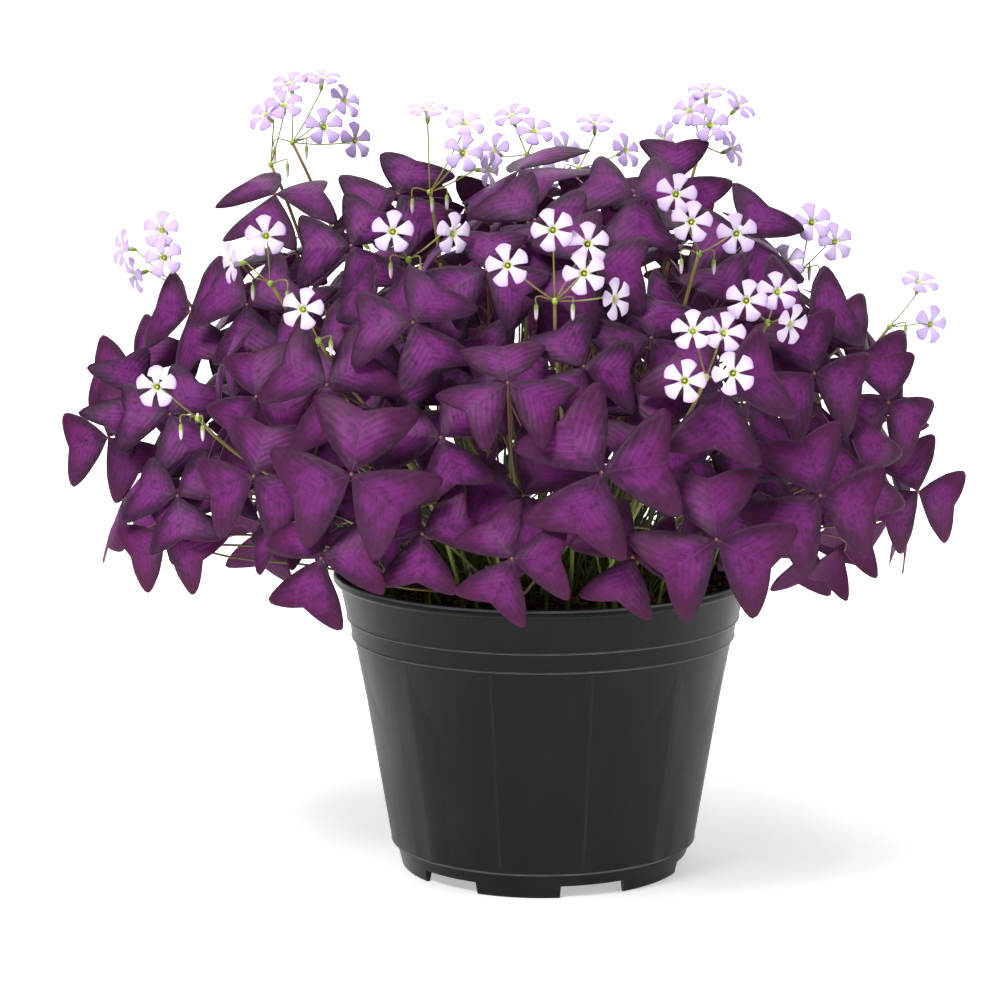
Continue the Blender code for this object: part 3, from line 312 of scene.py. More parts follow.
# %% Umbel table
UMBELS = (
    ((-126, 372), 60, ((-127, 402, 0, -20, 60), (-111, 405, 6, 10, 70), (-99, 393, 0, 50, 30),
                       (-110, 380, 12, 10, 20), (-94, 373, -6, 40, 12)), ((-70, 9, 14), (60, 8, 12))),
    ((-137, 361), 25, ((-140, 386, 0, -40, 32), (-130, 391, 9, 5, 45)), ((80, 8, 10),)),
    ((-187, 301), 10, ((-193, 328, 6, -20, 20), (-213, 319, 0, -62, 10), (-207, 305, -12, -60, -14),
                       (-192, 314, 16, -10, 12)), ()),
    ((-138, 301), 4, ((-140, 325, 12, 0, 10), (-158, 311, 6, -65, 0)), ((-100, 8, 12), (60, 9, 14))),
    ((-114, 272), -8, ((-122, 288, 14, -10, 20),), ((50, 7, 10),)),
    ((-57, 347), 22, ((-58, 389, 0, 0, 70), (-39, 382, 0, 20, 50), (-40, 367, 14, 15, 22),
                      (-27, 358, 0, 65, 0)), ((-90, 8, 14), (10, 7, 13), (75, 8, 12))),
    ((-68, 313), 0, ((-76, 327, 14, 0, 6), (-45, 326, 6, 40, 0)), ((-70, 8, 12), (40, 8, 13))),
    ((6, 292), -6, ((-18, 310, 16, -5, 6), (5, 328, 8, 0, 10), (23, 321, 2, 14, 12),
                    (21, 306, 20, 6, 6), (37, 293, 8, 50, 0)), ((-80, 8, 12), (70, 8, 12))),
    ((-8, 366), 60, ((-16, 386, 0, -30, 55), (-4, 378, 12, 10, 45), (-25, 368, 4, -40, 25),
                     (-3, 357, 20, 10, 10), (12, 369, 8, 50, 30)), ()),
    ((18, 359), 90, ((26, 382, 0, 0, 62), (42, 368, 0, 45, 22)), ((-60, 8, 12),)),
    ((80, 371), 60, ((82, 398, 0, 0, 68), (73, 388, 6, -32, 38), (84, 381, 18, 5, 26),
                     (99, 391, -4, 55, 42), (96, 369, 4, 60, 20), (60, 374, 4, -60, 22)), ((-30, 8, 12),)),
    ((79, 316), 6, ((67, 346, 8, -5, 10), (75, 332, 22, 0, 6), (98, 326, 10, 8, 2)),
     ((-80, 8, 13), (50, 8, 13))),
    ((131, 308), 30, ((136, 332, 6, 8, 16), (148, 322, 4, 25, 10), (123, 312, 16, -12, 30)),
     ((70, 8, 12), (150, 8, 10))),
    ((114, 281), -4, ((103, 292, 14, -5, 6), (119, 297, 2, 5, 30), (126, 280, 14, 42, -12)), ()),
    ((83, 253), -20, ((76, 277, 4, -12, 30), (92, 276, 4, 12, 30), (72, 251, 12, -6, 6),
                      (97, 255, 14, 6, 6)), ()),
    ((176, 279), 30, ((191, 302, 0, 20, 60), (197, 280, 8, 30, 0)), ((60, 8, 10),)),
    ((-176, 232), -4, ((-197, 248, 8, -12, 10),), ((-60, 8, 13), (20, 8, 13))),
)
BACK_UMBELS = (
    (168, 120, 322, (120, 190, 250)),
    (215, 150, 290, (170, 240)),
)
print("umbels:", len(UMBELS) + len(BACK_UMBELS))

# %% [markdown]
# Small shapes that the layout needs: the axes of something that faces a given way, a
# ring of points, a ring carried along a path, and a smooth curve.

# %% Shapes for the layout


def facing_axes(turn, tilt):
    """Right, up and outward axes of something that faces front, turned right and tilted up."""
    a, e = math.radians(turn), math.radians(tilt)
    out = Vector((math.sin(a) * math.cos(e), -math.cos(a) * math.cos(e), math.sin(e)))
    up = Vector((-math.sin(a) * math.sin(e), math.cos(a) * math.sin(e), math.cos(e)))
    return up.cross(out), up, out


def polygon(centre, axis, radius, sides, verts, first=None):
    """A ring of new points round an axis."""
    first = axis.orthogonal() if first is None else first - axis * first.dot(axis)
    first = first.normalized()
    second = first.cross(axis).normalized()
    ring = []
    for i in range(sides):
        angle = math.tau * i / sides
        verts.append(centre + (first * math.cos(angle) + second * math.sin(angle)) * radius)
        ring.append(len(verts) - 1)
    return ring


def sweep(path, radii, ring, verts, faces):
    """Carry a closed ring of vertex numbers along a path, turning it with the path."""
    centre = sum((verts[i] for i in ring), Vector()) / len(ring)
    spokes = [(verts[i] - centre).normalized() for i in ring]
    tangent = (path[1] - path[0]).normalized()
    for step in range(1, len(path)):
        ahead = path[min(step + 1, len(path) - 1)] - path[step - 1]
        turned = tangent.rotation_difference(ahead)
        spokes = [turned @ s for s in spokes]
        tangent = ahead.normalized()
        spokes = [(s - tangent * s.dot(tangent)).normalized() for s in spokes]
        fresh = []
        for spoke in spokes:
            verts.append(path[step] + spoke * radii[step])
            fresh.append(len(verts) - 1)
        for i in range(len(ring)):
            j = (i + 1) % len(ring)
            faces.append((ring[i], ring[j], fresh[j]))
            faces.append((ring[i], fresh[j], fresh[i]))
        ring = fresh
    return ring


def fan(ring, verts, faces, apex=None):
    """Close a ring, flat or to an apex."""
    if apex is None:
        for i in range(1, len(ring) - 1):
            faces.append((ring[0], ring[i], ring[i + 1]))
        return
    verts.append(apex)
    for i in range(len(ring)):
        faces.append((ring[i], ring[(i + 1) % len(ring)], len(verts) - 1))


def bezier(points, count):
    """Evenly stepped points on a cubic curve."""
    a, b, c, d = points
    curve = []
    for i in range(count + 1):
        t = i / count
        s = 1 - t
        curve.append(a * s ** 3 + b * (3 * s * s * t) + c * (3 * s * t * t) + d * t ** 3)
    return curve


def along_path(path, spacing):
    """Points along a broken line, no further apart than the spacing."""
    points = []
    for a, b in zip(path, path[1:]):
        steps = max(1, math.ceil((b - a).length / spacing))
        points.extend(a.lerp(b, i / steps) for i in range(steps))
    points.append(path[-1])
    return points


print("a quarter turn to the right faces:", [round(c) for c in facing_axes(90, 0)[2]])

# %% [markdown]
# A leaf is a hub, three directions for its leaflets, a length and a bend. Its plain
# blade, the solid's, is what the other leaves keep clear of.

# %% Leaves
HUB_SHARE = 0.036
RIDGE_SHARE = 0.40
NOTCH_SHARE = 0.735
HALF_OUTLINE = ((0.69, 0.60), (0.835, 0.50))
DROOP = (0.02, 0.20)
ARCH = (0.04, 0.16)
FOLD = (0.16, 0.34)
PLANT_SEED = 11
random_source = random.Random(PLANT_SEED)


def make_leaf(hub, turn, tilt, spin, length):
    """A leaf's place and form: hub, axes of its three leaflets, length and bend."""
    leaf = SimpleNamespace(hub=hub, length=length)
    aim_leaf(leaf, turn, tilt, spin)
    leaf.droop = [random_source.uniform(*DROOP) for _ in range(3)]
    leaf.arch = [random_source.uniform(*ARCH) for _ in range(3)]
    leaf.fold = [random_source.uniform(*FOLD) for _ in range(3)]
    return leaf


def aim_leaf(leaf, turn, tilt, spin):
    """Set the way a leaf faces and the directions of its three leaflets."""
    right, up, leaf.out = facing_axes(turn, tilt)
    leaf.turn, leaf.tilt, leaf.spin = turn, tilt, spin
    leaf.along = []
    leaf.side = []
    for k in range(3):
        angle = math.radians(spin + 120 * k)
        leaf.along.append(up * math.cos(angle) + right * math.sin(angle))
        leaf.side.append(right * math.cos(angle) - up * math.sin(angle))


def blade_point(leaf, k, x, y):
    """A point on leaflet k, x along its midrib and y to its side, in leaflet lengths."""
    fall = leaf.droop[k] * x + leaf.arch[k] * x * x + leaf.fold[k] * abs(y)
    offset = leaf.along[k] * x + leaf.side[k] * y - leaf.out * fall
    return leaf.hub + offset * leaf.length


def blade_skin(leaf, thickness, half_outline=HALF_OUTLINE):
    """The thin arched blade: points, faces, and the ring round the hub left open below."""
    lift = leaf.out * (thickness / 2)
    verts = []
    faces = []
    rings = []
    for sign in (1, -1):
        corners = []
        for k in range(3):
            spoke = (leaf.along[k] * 0.5 + leaf.side[k] * math.sqrt(0.75)) * leaf.length
            verts.append(leaf.hub + spoke * HUB_SHARE + lift * sign)
            corners.append(len(verts) - 1)
        outline = []
        for k in range(3):
            base = (corners[(k - 1) % 3], corners[k])
            edge = []
            for x, y in half_outline:
                edge.append((x, -y))
            edge.append((NOTCH_SHARE, 0))
            for x, y in reversed(half_outline):
                edge.append((x, y))
            ring = [base[0]]
            for x, y in edge:
                verts.append(blade_point(leaf, k, x, y) + lift * sign)
                ring.append(len(verts) - 1)
            outline.extend(ring)
            ring.append(base[1])
            verts.append(blade_point(leaf, k, RIDGE_SHARE, 0) + lift * sign)
            ridge = len(verts) - 1
            for i in range(len(ring)):
                faces.append((ridge, ring[i], ring[(i + 1) % len(ring)]))
        rings.append((corners, outline))
    faces.append(tuple(rings[0][0]))
    top, bottom = rings[0][1], rings[1][1]
    for i in range(len(top)):
        j = (i + 1) % len(top)
        faces.append((top[i], bottom[i], bottom[j]))
        faces.append((top[i], bottom[j], top[j]))
    return verts, faces, rings[1][0]


print("corners of a plain leaflet:", 2 * len(HALF_OUTLINE) + 1)

# %% [markdown]
# An umbel is a core with flowers and buds. Its places come from the table, by sight
# lines that meet the canopy.

# %% Umbels
PETALS = 5
PETAL_REACH = 10.2 * MM
PETAL_HALF_ANGLE = 21.0
PETAL_THICKNESS = 0.7 * MM
PETAL_FLARE = 0.6 * MM
THROAT_RADIUS = 2.5 * MM
THROAT_DEPTH = 2 * MM
FLOWER_SPIN = 20
BUD_LENGTH = 8 * MM
BUD_RISE = 3 * MM
BUD_LEAN = 0.8 * MM
BACK_FLOWER_RISE = 52
BACK_FLOWER_TILT = 35
BACK_FLOWER_REACH = 27 * MM
BACK_BUD = (8, 12)


def flower_point(flower, petal, degrees, reach, rise):
    """A point at a reach from the flower's axis, in the petal's direction."""
    angle = math.radians(360 / PETALS * petal + degrees)
    spoke = flower.up * math.cos(angle) + flower.right * math.sin(angle)
    return flower.place + spoke * reach + flower.out * rise


def flower_skin(flower, thickness=PETAL_THICKNESS, funnel=True):
    """Five petals over a funnel, open at the calyx ring, which is returned."""
    verts = []
    faces = []
    rings = []
    for sign in (0, -1):
        lift = flower.out * (thickness * sign)
        throat = []
        outline = []
        for k in range(PETALS):
            verts.append(flower_point(flower, k + 0.5, 0, THROAT_RADIUS, 0) + lift)
            throat.append(len(verts) - 1)
        for k in range(PETALS):
            before, after = throat[(k - 1) % PETALS], throat[k]
            tips = []
            for side in (-1, 1):
                tip = flower_point(flower, k, side * PETAL_HALF_ANGLE, PETAL_REACH, PETAL_FLARE)
                verts.append(tip + lift)
                tips.append(len(verts) - 1)
            faces.append((before, tips[0], tips[1]))
            faces.append((before, tips[1], after))
            outline.extend((before, *tips))
        rings.append((throat, outline))
    fan(rings[0][0], verts, faces, flower.place - flower.out * THROAT_DEPTH)
    top, bottom = rings[0][1], rings[1][1]
    for i in range(len(top)):
        j = (i + 1) % len(top)
        faces.append((top[i], bottom[i], bottom[j]))
        faces.append((top[i], bottom[j], top[j]))
    return verts, faces, rings[1][0]


def bud_path(core, bud):
    """A hanging bud's stalk: out and up from the core, then down."""
    turn, reach, drop = bud
    right, up, out = facing_axes(turn, 0)
    bend = core + out * (reach * MM) + Vector((0, 0, BUD_RISE))
    neck = bend + Vector((0, 0, -(drop * MM - BUD_LENGTH))) + out * BUD_LEAN
    return [core, bend, neck, neck + Vector((0, 0, -BUD_LENGTH))]


def canopy_point(across, up, depth):
    """Where a line of sight through a place on the pot's plane meets the canopy."""
    line = (Vector((across * MM, 0, up * MM)) - EYE).normalized()
    a = Vector([line[i] / CANOPY_AXES[i] for i in range(3)])
    b = Vector([(EYE[i] - CANOPY_CENTRE[i]) / CANOPY_AXES[i] for i in range(3)])
    middle = -a.dot(b) / a.dot(a)
    reach = middle ** 2 - (b.dot(b) - 1) / a.dot(a)
    near = middle - math.sqrt(max(reach, 0))
    return EYE + line * (near + depth * MM), line


def make_flower(place, turn, tilt):
    """A flower's place and axes, with a little spin of its own."""
    right, up, out = facing_axes(turn, tilt)
    spin = math.radians(random_source.uniform(-FLOWER_SPIN, FLOWER_SPIN))
    turned_up = up * math.cos(spin) + right * math.sin(spin)
    turned_right = right * math.cos(spin) - up * math.sin(spin)
    return SimpleNamespace(place=place, right=turned_right, up=turned_up, out=out)


def make_umbels():
    """Every umbel's core, flowers and buds."""
    umbels = []
    for (across, up), depth, flowers, buds in UMBELS:
        core, line = canopy_point(across, up, depth)
        umbel = SimpleNamespace(core=core, flowers=[], buds=buds)
        for x, z, forward, turn, tilt in flowers:
            sight = Vector((x * MM, 0, z * MM)) - EYE
            place = EYE + sight * ((core.y - forward * MM - EYE.y) / sight.y)
            umbel.flowers.append(make_flower(place, turn, tilt))
        umbels.append(umbel)
    for bearing, reach, height, around in BACK_UMBELS:
        a = math.radians(bearing)
        core = Vector((math.sin(a) * reach * MM, -math.cos(a) * reach * MM, height * MM))
        umbel = SimpleNamespace(core=core, flowers=[], buds=((bearing, *BACK_BUD),))
        for turn in around:
            right, up, out = facing_axes(turn, BACK_FLOWER_RISE)
            umbel.flowers.append(make_flower(core + out * BACK_FLOWER_REACH, turn, BACK_FLOWER_TILT))
        umbels.append(umbel)
    for i, umbel in enumerate(umbels):
        umbel.name = f"flower_umbel_{i + 1:02d}"
    return umbels


print("petals of a flower:", PETALS)

# %% [markdown]
# Growing comes last. Each leaf slides back until its blade is clear of its neighbours,
# and each stalk tries bends until one leads down to the soil without touching anything.
# The random choices are seeded, so the plant grows the same way each time.

# %% Search trees
FUNNEL_LENGTH = 7.5 * MM
CALYX_RADIUS = 0.75 * MM
PEDICEL_RADIUS = 0.5 * MM
STALK_SIDES = 3
BUD_RADIUS = 1.0 * MM


def tree_of(skins):
    """One search tree over several skins, with the owner of each face."""
    verts = []
    faces = []
    owners = []
    for owner, skin_verts, skin_faces in skins:
        start = len(verts)
        verts.extend(skin_verts)
        for face in skin_faces:
            faces.append(tuple(start + i for i in face))
            owners.append(owner)
    return BVHTree.FromPolygons(verts, faces), owners


def umbel_skins(umbel):
    """What a leaf or stem has to keep clear of in an umbel."""
    skins = []
    for flower in umbel.flowers:
        verts, faces, ring = flower_skin(flower, PETAL_THICKNESS * 2)
        calyx = flower.place - flower.out * FUNNEL_LENGTH
        path = [flower.place, calyx, umbel.core]
        sweep(path, [THROAT_RADIUS, CALYX_RADIUS * 2, PEDICEL_RADIUS * 2], ring, verts, faces)
        skins.append((umbel.name, verts, faces))
    for bud in umbel.buds:
        path = bud_path(umbel.core, bud)
        verts = []
        faces = []
        ring = polygon(path[0], (path[1] - path[0]).normalized(), BUD_RADIUS, 3, verts)
        sweep(path, [BUD_RADIUS * 1.6] * len(path), ring, verts, faces)
        skins.append((umbel.name, verts, faces))
    return skins


def stem_skin(path, radius):
    """A plain tube round a stem."""
    verts = []
    faces = []
    ring = polygon(path[0], (path[1] - path[0]).normalized(), radius, STALK_SIDES, verts)
    sweep(path, [radius] * len(path), ring, verts, faces)
    return verts, faces


print("sides of a plain stalk:", STALK_SIDES)

# %% [markdown]
# A stalk may not touch a blade or pass closer than 2.4 mm to another stalk, and near the
# rim it has to stay inside the pot. This class keeps all that has grown in search trees,
# so that such a test is quick, and tries bends for a new stalk until one is clear.

# %% All that has grown
BLADE_CLEARANCE = 0.8 * MM
PETIOLE_RADIUS = 0.85 * MM
STEM_SPACING = 2.4 * MM
STEM_SAMPLE = 1.5 * MM
SMOOTH_STEPS = 12
RIM_CLEARANCE = 3 * MM
RIM_REACH = 92 * MM
BLADE_SPACING = 1.7 * MM
FIRST_REACH = (16, 70)
LAST_REACH = (20, 110)
MOST_SHAKE = 1.5
MOST_LEAN = 0.9
MOST_SWING = 0.6
POT_HEIGHT = 154 * MM


class Growth:
    """All that has been grown so far, for the next leaf or stem to keep clear of."""

    def __init__(self):
        self.skins = []
        self.tubes = []
        self.points = []
        self.owners = []
        self.refresh()

    def refresh(self):
        self.solid, self.solid_owners = tree_of(self.skins)
        self.everything = tree_of(self.skins + self.tubes)[0]
        self.stems = KDTree(len(self.points))
        for i, point in enumerate(self.points):
            self.stems.insert(point, i)
        self.stems.balance()

    def add_stem(self, route, steps, owner):
        for path in (bezier(route, steps), bezier(route, SMOOTH_STEPS)):
            for point in along_path(path, STEM_SAMPLE):
                self.points.append(point)
                self.owners.append(owner)
            self.tubes.append((owner, *stem_skin(path, PETIOLE_RADIUS + BLADE_CLEARANCE)))
        self.refresh()

    def stem_faults(self, route, steps, owner, free_length, limit):
        """How many samples of a route lie too near something else."""
        start = route[0]
        faults = 0
        paths = along_path(bezier(route, steps), STEM_SAMPLE)
        for point in paths + along_path(bezier(route, SMOOTH_STEPS), STEM_SAMPLE):
            if point.z < POT_HEIGHT + RIM_CLEARANCE and point.xy.length > RIM_REACH:
                faults += 1
            for place, normal, index, distance in self.solid.find_nearest_range(point, BLADE_SPACING):
                if self.solid_owners[index] != owner or (point - start).length > free_length:
                    faults += 1
            for place, index, distance in self.stems.find_range(point, STEM_SPACING):
                if self.owners[index] != owner:
                    faults += 1
            if faults > limit:
                return faults
        return faults

    def find_route(self, start, leave, foot, steps, owner, free_length, tries):
        """Bend a stem from its upper end to its foot, clear of everything."""
        outward = Vector((foot.x, foot.y, 0)).normalized()
        best = (math.inf, None)
        for attempt in range(tries):
            loose = min(1.0, 3 * attempt / tries)
            shake = Vector([random_source.uniform(-1, 1) for _ in range(3)]) * MOST_SHAKE * loose
            first = start + (leave + shake).normalized() * random_source.uniform(*FIRST_REACH) * MM
            lean = Vector((0, 0, 1)) + outward * random_source.uniform(0, MOST_LEAN)
            swing = Vector((random_source.uniform(-1, 1), random_source.uniform(-1, 1), 0))
            lean += swing * MOST_SWING * loose
            second = foot + lean.normalized() * random_source.uniform(*LAST_REACH) * MM
            route = (start, first, second, foot)
            faults = self.stem_faults(route, steps, owner, free_length, best[0])
            if faults < best[0]:
                best = (faults, route)
            if faults == 0:
                break
        return best


print("least distance between stalks, in mm:", round(STEM_SPACING / MM, 1))

# %% [markdown]
# A leaf slides along its line of sight, the short distances first. When that isn't
# enough, it may also turn, shift and shrink a little. Its petiole leaves from below.

# %% Grow one leaf
BLADE_THICKNESS = 0.8 * MM
FULL_OUTLINE = ((0.30, 0.33), (0.70, 0.60), (0.835, 0.50))
HUB_GUARD_LENGTH = 9 * MM
HUB_GUARD_RADIUS = 2 * MM
PETIOLE_START = 4 * MM
OWN_BLADE_REACH = 6 * MM
PETIOLE_STEPS = 3
PETIOLE_FOOT = Vector((0, 0, 2.5 * MM))
WANDER_SHIFT = 0.35 * MM
WANDER_SHRINK = 0.009
PETIOLE_TRIES = 400


def clears_own_blade(leaf, route):
    """Whether a petiole, once it has left the hub, stays off its own blade."""
    verts, faces, ring = blade_skin(leaf, BLADE_THICKNESS, FULL_OUTLINE)
    tree = BVHTree.FromPolygons(verts, faces)
    for path in (bezier(route, PETIOLE_STEPS), bezier(route, SMOOTH_STEPS)):
        for point in along_path(path, STEM_SAMPLE)[2:]:
            away = (point - leaf.hub).length > OWN_BLADE_REACH
            if away and tree.find_nearest(point, BLADE_SPACING)[0]:
                return False
    return True


def grow_leaf(leaf, push, steps, growth):
    """Slide a leaf to the first place where its blade is clear and its petiole finds a way."""
    first_hub, spin, tilt, turn, length = leaf.hub, leaf.spin, leaf.tilt, leaf.turn, leaf.length
    owner = ("crown", leaf.crown)
    for distance, wander in steps:
        leaf.hub = first_hub + push * (distance * MM)
        if wander:
            aim_leaf(leaf, turn, tilt + wander * random_source.uniform(-0.5, 0.5),
                     spin + wander * random_source.uniform(-1, 1))
            sideways = leaf.along[0] * random_source.uniform(-1, 1)
            sideways += leaf.side[0] * random_source.uniform(-1, 1)
            leaf.hub = leaf.hub + sideways * (wander * WANDER_SHIFT)
            leaf.length = length * (1 - wander * WANDER_SHRINK)
        verts, faces, ring = blade_skin(leaf, BLADE_THICKNESS + 2 * BLADE_CLEARANCE, FULL_OUTLINE)
        guard = leaf.hub - leaf.out * HUB_GUARD_LENGTH
        sweep([leaf.hub, guard], [0, HUB_GUARD_RADIUS], ring, verts, faces)
        if BVHTree.FromPolygons(verts, faces).overlap(growth.everything):
            continue
        start = leaf.hub - leaf.out * PETIOLE_START
        foot = leaf.root + PETIOLE_FOOT
        found = growth.find_route(start, -leaf.out, foot, PETIOLE_STEPS, owner, 0, PETIOLE_TRIES)
        if found[0] == 0 and clears_own_blade(leaf, found[1]):
            leaf.route = found[1]
            verts, faces, ring = blade_skin(leaf, BLADE_THICKNESS, FULL_OUTLINE)
            growth.skins.append((owner, verts, faces))
            growth.add_stem(leaf.route, PETIOLE_STEPS, owner)
            return True
    return False


print("tries for one petiole:", PETIOLE_TRIES)

# %% [markdown]
# The front leaves come first, so that they find the places that the table gives them.
# The hidden ones follow in rows, from the top of the dome down, and face outwards.

# %% Plan the leaves
HIDDEN_LEAF_LENGTH = 39
HIDDEN_LENGTH_SPREAD = 4
HIDDEN_TILT_LOW = 16
HIDDEN_TILT_HIGH = 60
BEARING_SPREAD = 5
LEVEL_SPREAD = 0.05
TILT_SPREAD = 7
TURN_SPREAD = 12
LOWEST_LEVEL = -0.2
READ_SHARE = 0.90
WANDER_TRIES = 8
SLIDE_STEP = 3
WANDERS = (0, 10, 20, 32)
FRONT_SLIDE = (-12, 42)
OUTER_SLIDE = (0, 60)
INNER_SLIDE = (-12, 15)


def slide_steps(nearest, furthest):
    """Distances to slide, the short ones first, each with the degrees it may wander."""
    steps = []
    for wander in WANDERS:
        for distance in sorted(range(nearest, furthest + 1, SLIDE_STEP), key=abs):
            steps.extend([(distance, wander)] * (1 if wander == 0 else WANDER_TRIES))
    return steps


def plan_leaves():
    """Every leaf's first place, the way it may slide and how far, the front ones first."""
    near = slide_steps(*FRONT_SLIDE)
    far = slide_steps(*OUTER_SLIDE)
    inner = slide_steps(*INNER_SLIDE)
    plans = []
    for across, up, turn, tilt, spin, length, depth in FRONT_LEAVES:
        hub, line = canopy_point(across, up, depth)
        size = length * MM * READ_SHARE * (hub.y - EYE.y) / -EYE.y
        plans.append((make_leaf(hub, turn, tilt, spin, size), line, near))
    for height, count, first, arc, shell in HIDDEN_ROWS:
        for i in range(count):
            bearing = first + arc * (i + 0.5) / count
            bearing += random_source.uniform(-BEARING_SPREAD, BEARING_SPREAD)
            a = math.radians(bearing)
            level = min(height + random_source.uniform(-LEVEL_SPREAD, LEVEL_SPREAD), 1)
            spread = math.sqrt(1 - level * level)
            out = Vector((math.sin(a) * spread, -math.cos(a) * spread, level))
            hub = CANOPY_CENTRE + Vector([out[k] * CANOPY_AXES[k] for k in range(3)]) * shell
            share = (level - LOWEST_LEVEL) / (1 - LOWEST_LEVEL)
            tilt = HIDDEN_TILT_LOW + (HIDDEN_TILT_HIGH - HIDDEN_TILT_LOW) * share
            tilt += random_source.uniform(-TILT_SPREAD, TILT_SPREAD)
            length = HIDDEN_LEAF_LENGTH + random_source.uniform(-1, 1) * HIDDEN_LENGTH_SPREAD
            spin = random_source.uniform(0, 120)
            turn = bearing + random_source.uniform(-TURN_SPREAD, TURN_SPREAD)
            leaf = make_leaf(hub, turn, tilt, spin, length * MM)
            plans.append((leaf, -out, far if shell == 1 else inner))
    for number, plan in enumerate(plans):
        plan[0].number = number
    return plans


print("hidden leaves:", sum(row[1] for row in HIDDEN_ROWS))

# %% [markdown]
# Bulbs lie in the soil like the seeds of a sunflower, evenly and in no rows. Each
# umbel takes the place nearest below it, and each crown carries up to three leaves.

# %% Crowns in the soil
SOIL_HEIGHT = 143 * MM
CROWN_SEAT = 1.35 * MM
LEAVES_PER_CROWN = 3
ROOT_DISC_RADIUS = 82 * MM
ROOT_PULL = 0.36
GOLDEN_ANGLE = 137.508


def root_places(count):
    """Places on the soil, spread like the seeds of a sunflower."""
    places = []
    for i in range(count):
        reach = ROOT_DISC_RADIUS * math.sqrt((i + 0.5) / count)
        angle = math.radians(GOLDEN_ANGLE * i)
        places.append(Vector((math.cos(angle) * reach, math.sin(angle) * reach, SOIL_HEIGHT)))
    return places


def seat_leaves(place, grown):
    """Seat each petiole on its own side of the crown, the side that its leaf lies on."""
    def bearing(leaf):
        away = leaf.hub.xy - place.xy
        return math.atan2(away.y, away.x)

    grown.sort(key=bearing)
    offsets = [bearing(leaf) - math.tau * i / len(grown) for i, leaf in enumerate(grown)]
    first = sum(offsets) / max(1, len(grown))
    for i, leaf in enumerate(grown):
        angle = first + math.tau * i / len(grown)
        reach = CROWN_SEAT if len(grown) > 1 else 0
        leaf.root = place + Vector((math.cos(angle), math.sin(angle), 0)) * reach


def choose_roots(umbels, leaves):
    """Give each umbel a place of its own and each leaf a shared crown."""
    crowns = math.ceil(len(leaves) / LEAVES_PER_CROWN)
    places = root_places(len(umbels) + crowns)
    for umbel in umbels:
        wish = Vector((umbel.core.x, umbel.core.y, 0)) * ROOT_PULL
        umbel.root = min(places, key=lambda p: (p.xy - wish.xy).length)
        places.remove(umbel.root)
    room = {i: LEAVES_PER_CROWN for i in range(len(places))}
    for leaf in sorted(leaves, key=lambda item: -item.hub.xy.length):
        wish = leaf.hub.xy * ROOT_PULL
        free = [i for i in room if room[i]]
        leaf.crown = min(free, key=lambda i: (places[i].xy - wish).length)
        room[leaf.crown] -= 1
    for i, place in enumerate(places):
        seat_leaves(place, [leaf for leaf in leaves if leaf.crown == i])
    return places


print("leaves that share a crown:", LEAVES_PER_CROWN)

# %% [markdown]
# The scapes are laid before any leaf, because the flowers' places are fixed. Then the
# leaves grow one by one, and the few that find no clear place are left out.

# %% Grow the plant
CROWN_TOP = 4.5 * MM
SCAPE_FOOT = Vector((0, 0, 2.5 * MM))
SCAPE_STEPS = 3
SCAPE_SPREAD = 0.8
SCAPE_DIP = 0.2
SCAPE_FREE_LENGTH = 40 * MM
SCAPE_TRIES = 2000


def grow(umbels, plans):
    """Lay the scapes, then grow the leaves one by one, each clear of all before it."""
    growth = Growth()
    leaves = [leaf for leaf, push, steps in plans]
    crowns = choose_roots(umbels, leaves)
    for umbel in umbels:
        growth.skins.extend(umbel_skins(umbel))
    for i, place in enumerate(crowns):
        rise = place + Vector((0, 0, CROWN_TOP + BLADE_CLEARANCE))
        growth.points.extend(along_path([place, rise], STEM_SAMPLE))
        growth.owners.extend([("crown", i)] * (len(growth.points) - len(growth.owners)))
    for umbel in umbels:
        growth.points.append(umbel.root)
        growth.owners.append(umbel.name)
    growth.refresh()
    for umbel in umbels:
        inward = -umbel.core.xy * SCAPE_SPREAD
        leave = Vector((inward.x, inward.y, -SCAPE_DIP)).normalized()
        foot = umbel.root + SCAPE_FOOT
        found = growth.find_route(umbel.core, leave, foot, SCAPE_STEPS, umbel.name,
                                  SCAPE_FREE_LENGTH, SCAPE_TRIES)
        umbel.route = found[1]
        growth.add_stem(umbel.route, SCAPE_STEPS, umbel.name)
    grown = []
    for leaf, push, steps in plans:
        if grow_leaf(leaf, push, steps, growth):
            grown.append(leaf)
    tufts = []
    for i, place in enumerate(crowns):
        members = [leaf for leaf in grown if leaf.crown == i]
        if members:
            tufts.append((place, members))
    return tufts, growth


umbels = make_umbels()
tufts, growth = grow(umbels, plan_leaves())
print("leaves:", sum(len(members) for place, members in tufts), "in", len(tufts), "tufts")

# %% [markdown]
# A check that the layout agrees with the frame: how far the outline points of each tuft's
# leaves lie outside its solid's box.

# %% Compare with the frame
furthest = 0.0
for i, (place, members) in enumerate(tufts):
    low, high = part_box(f"leaf_tuft_{i + 1:02d}")
    for leaf in members:
        for k in range(3):
            for x, y in HALF_OUTLINE:
                for spot in (blade_point(leaf, k, x, y), blade_point(leaf, k, x, -y)):
                    furthest = max(furthest, *[max(low[c] - spot[c], spot[c] - high[c]) for c in range(3)])
print("furthest that a leaf lies outside its solid's box, in mm:", round(furthest / MM, 3))

# %% [markdown]
# A leaf, a petal and a stalk are all built into the same kind of skin: points and faces,
# a material number for each face, and two hidden values at each point. The first value
# says where the point lies on its leaflet or stalk, so that a pattern can follow the
# veins, and the second holds what is this leaf's own, such as its tone.

# %% A skin that remembers where each point lies


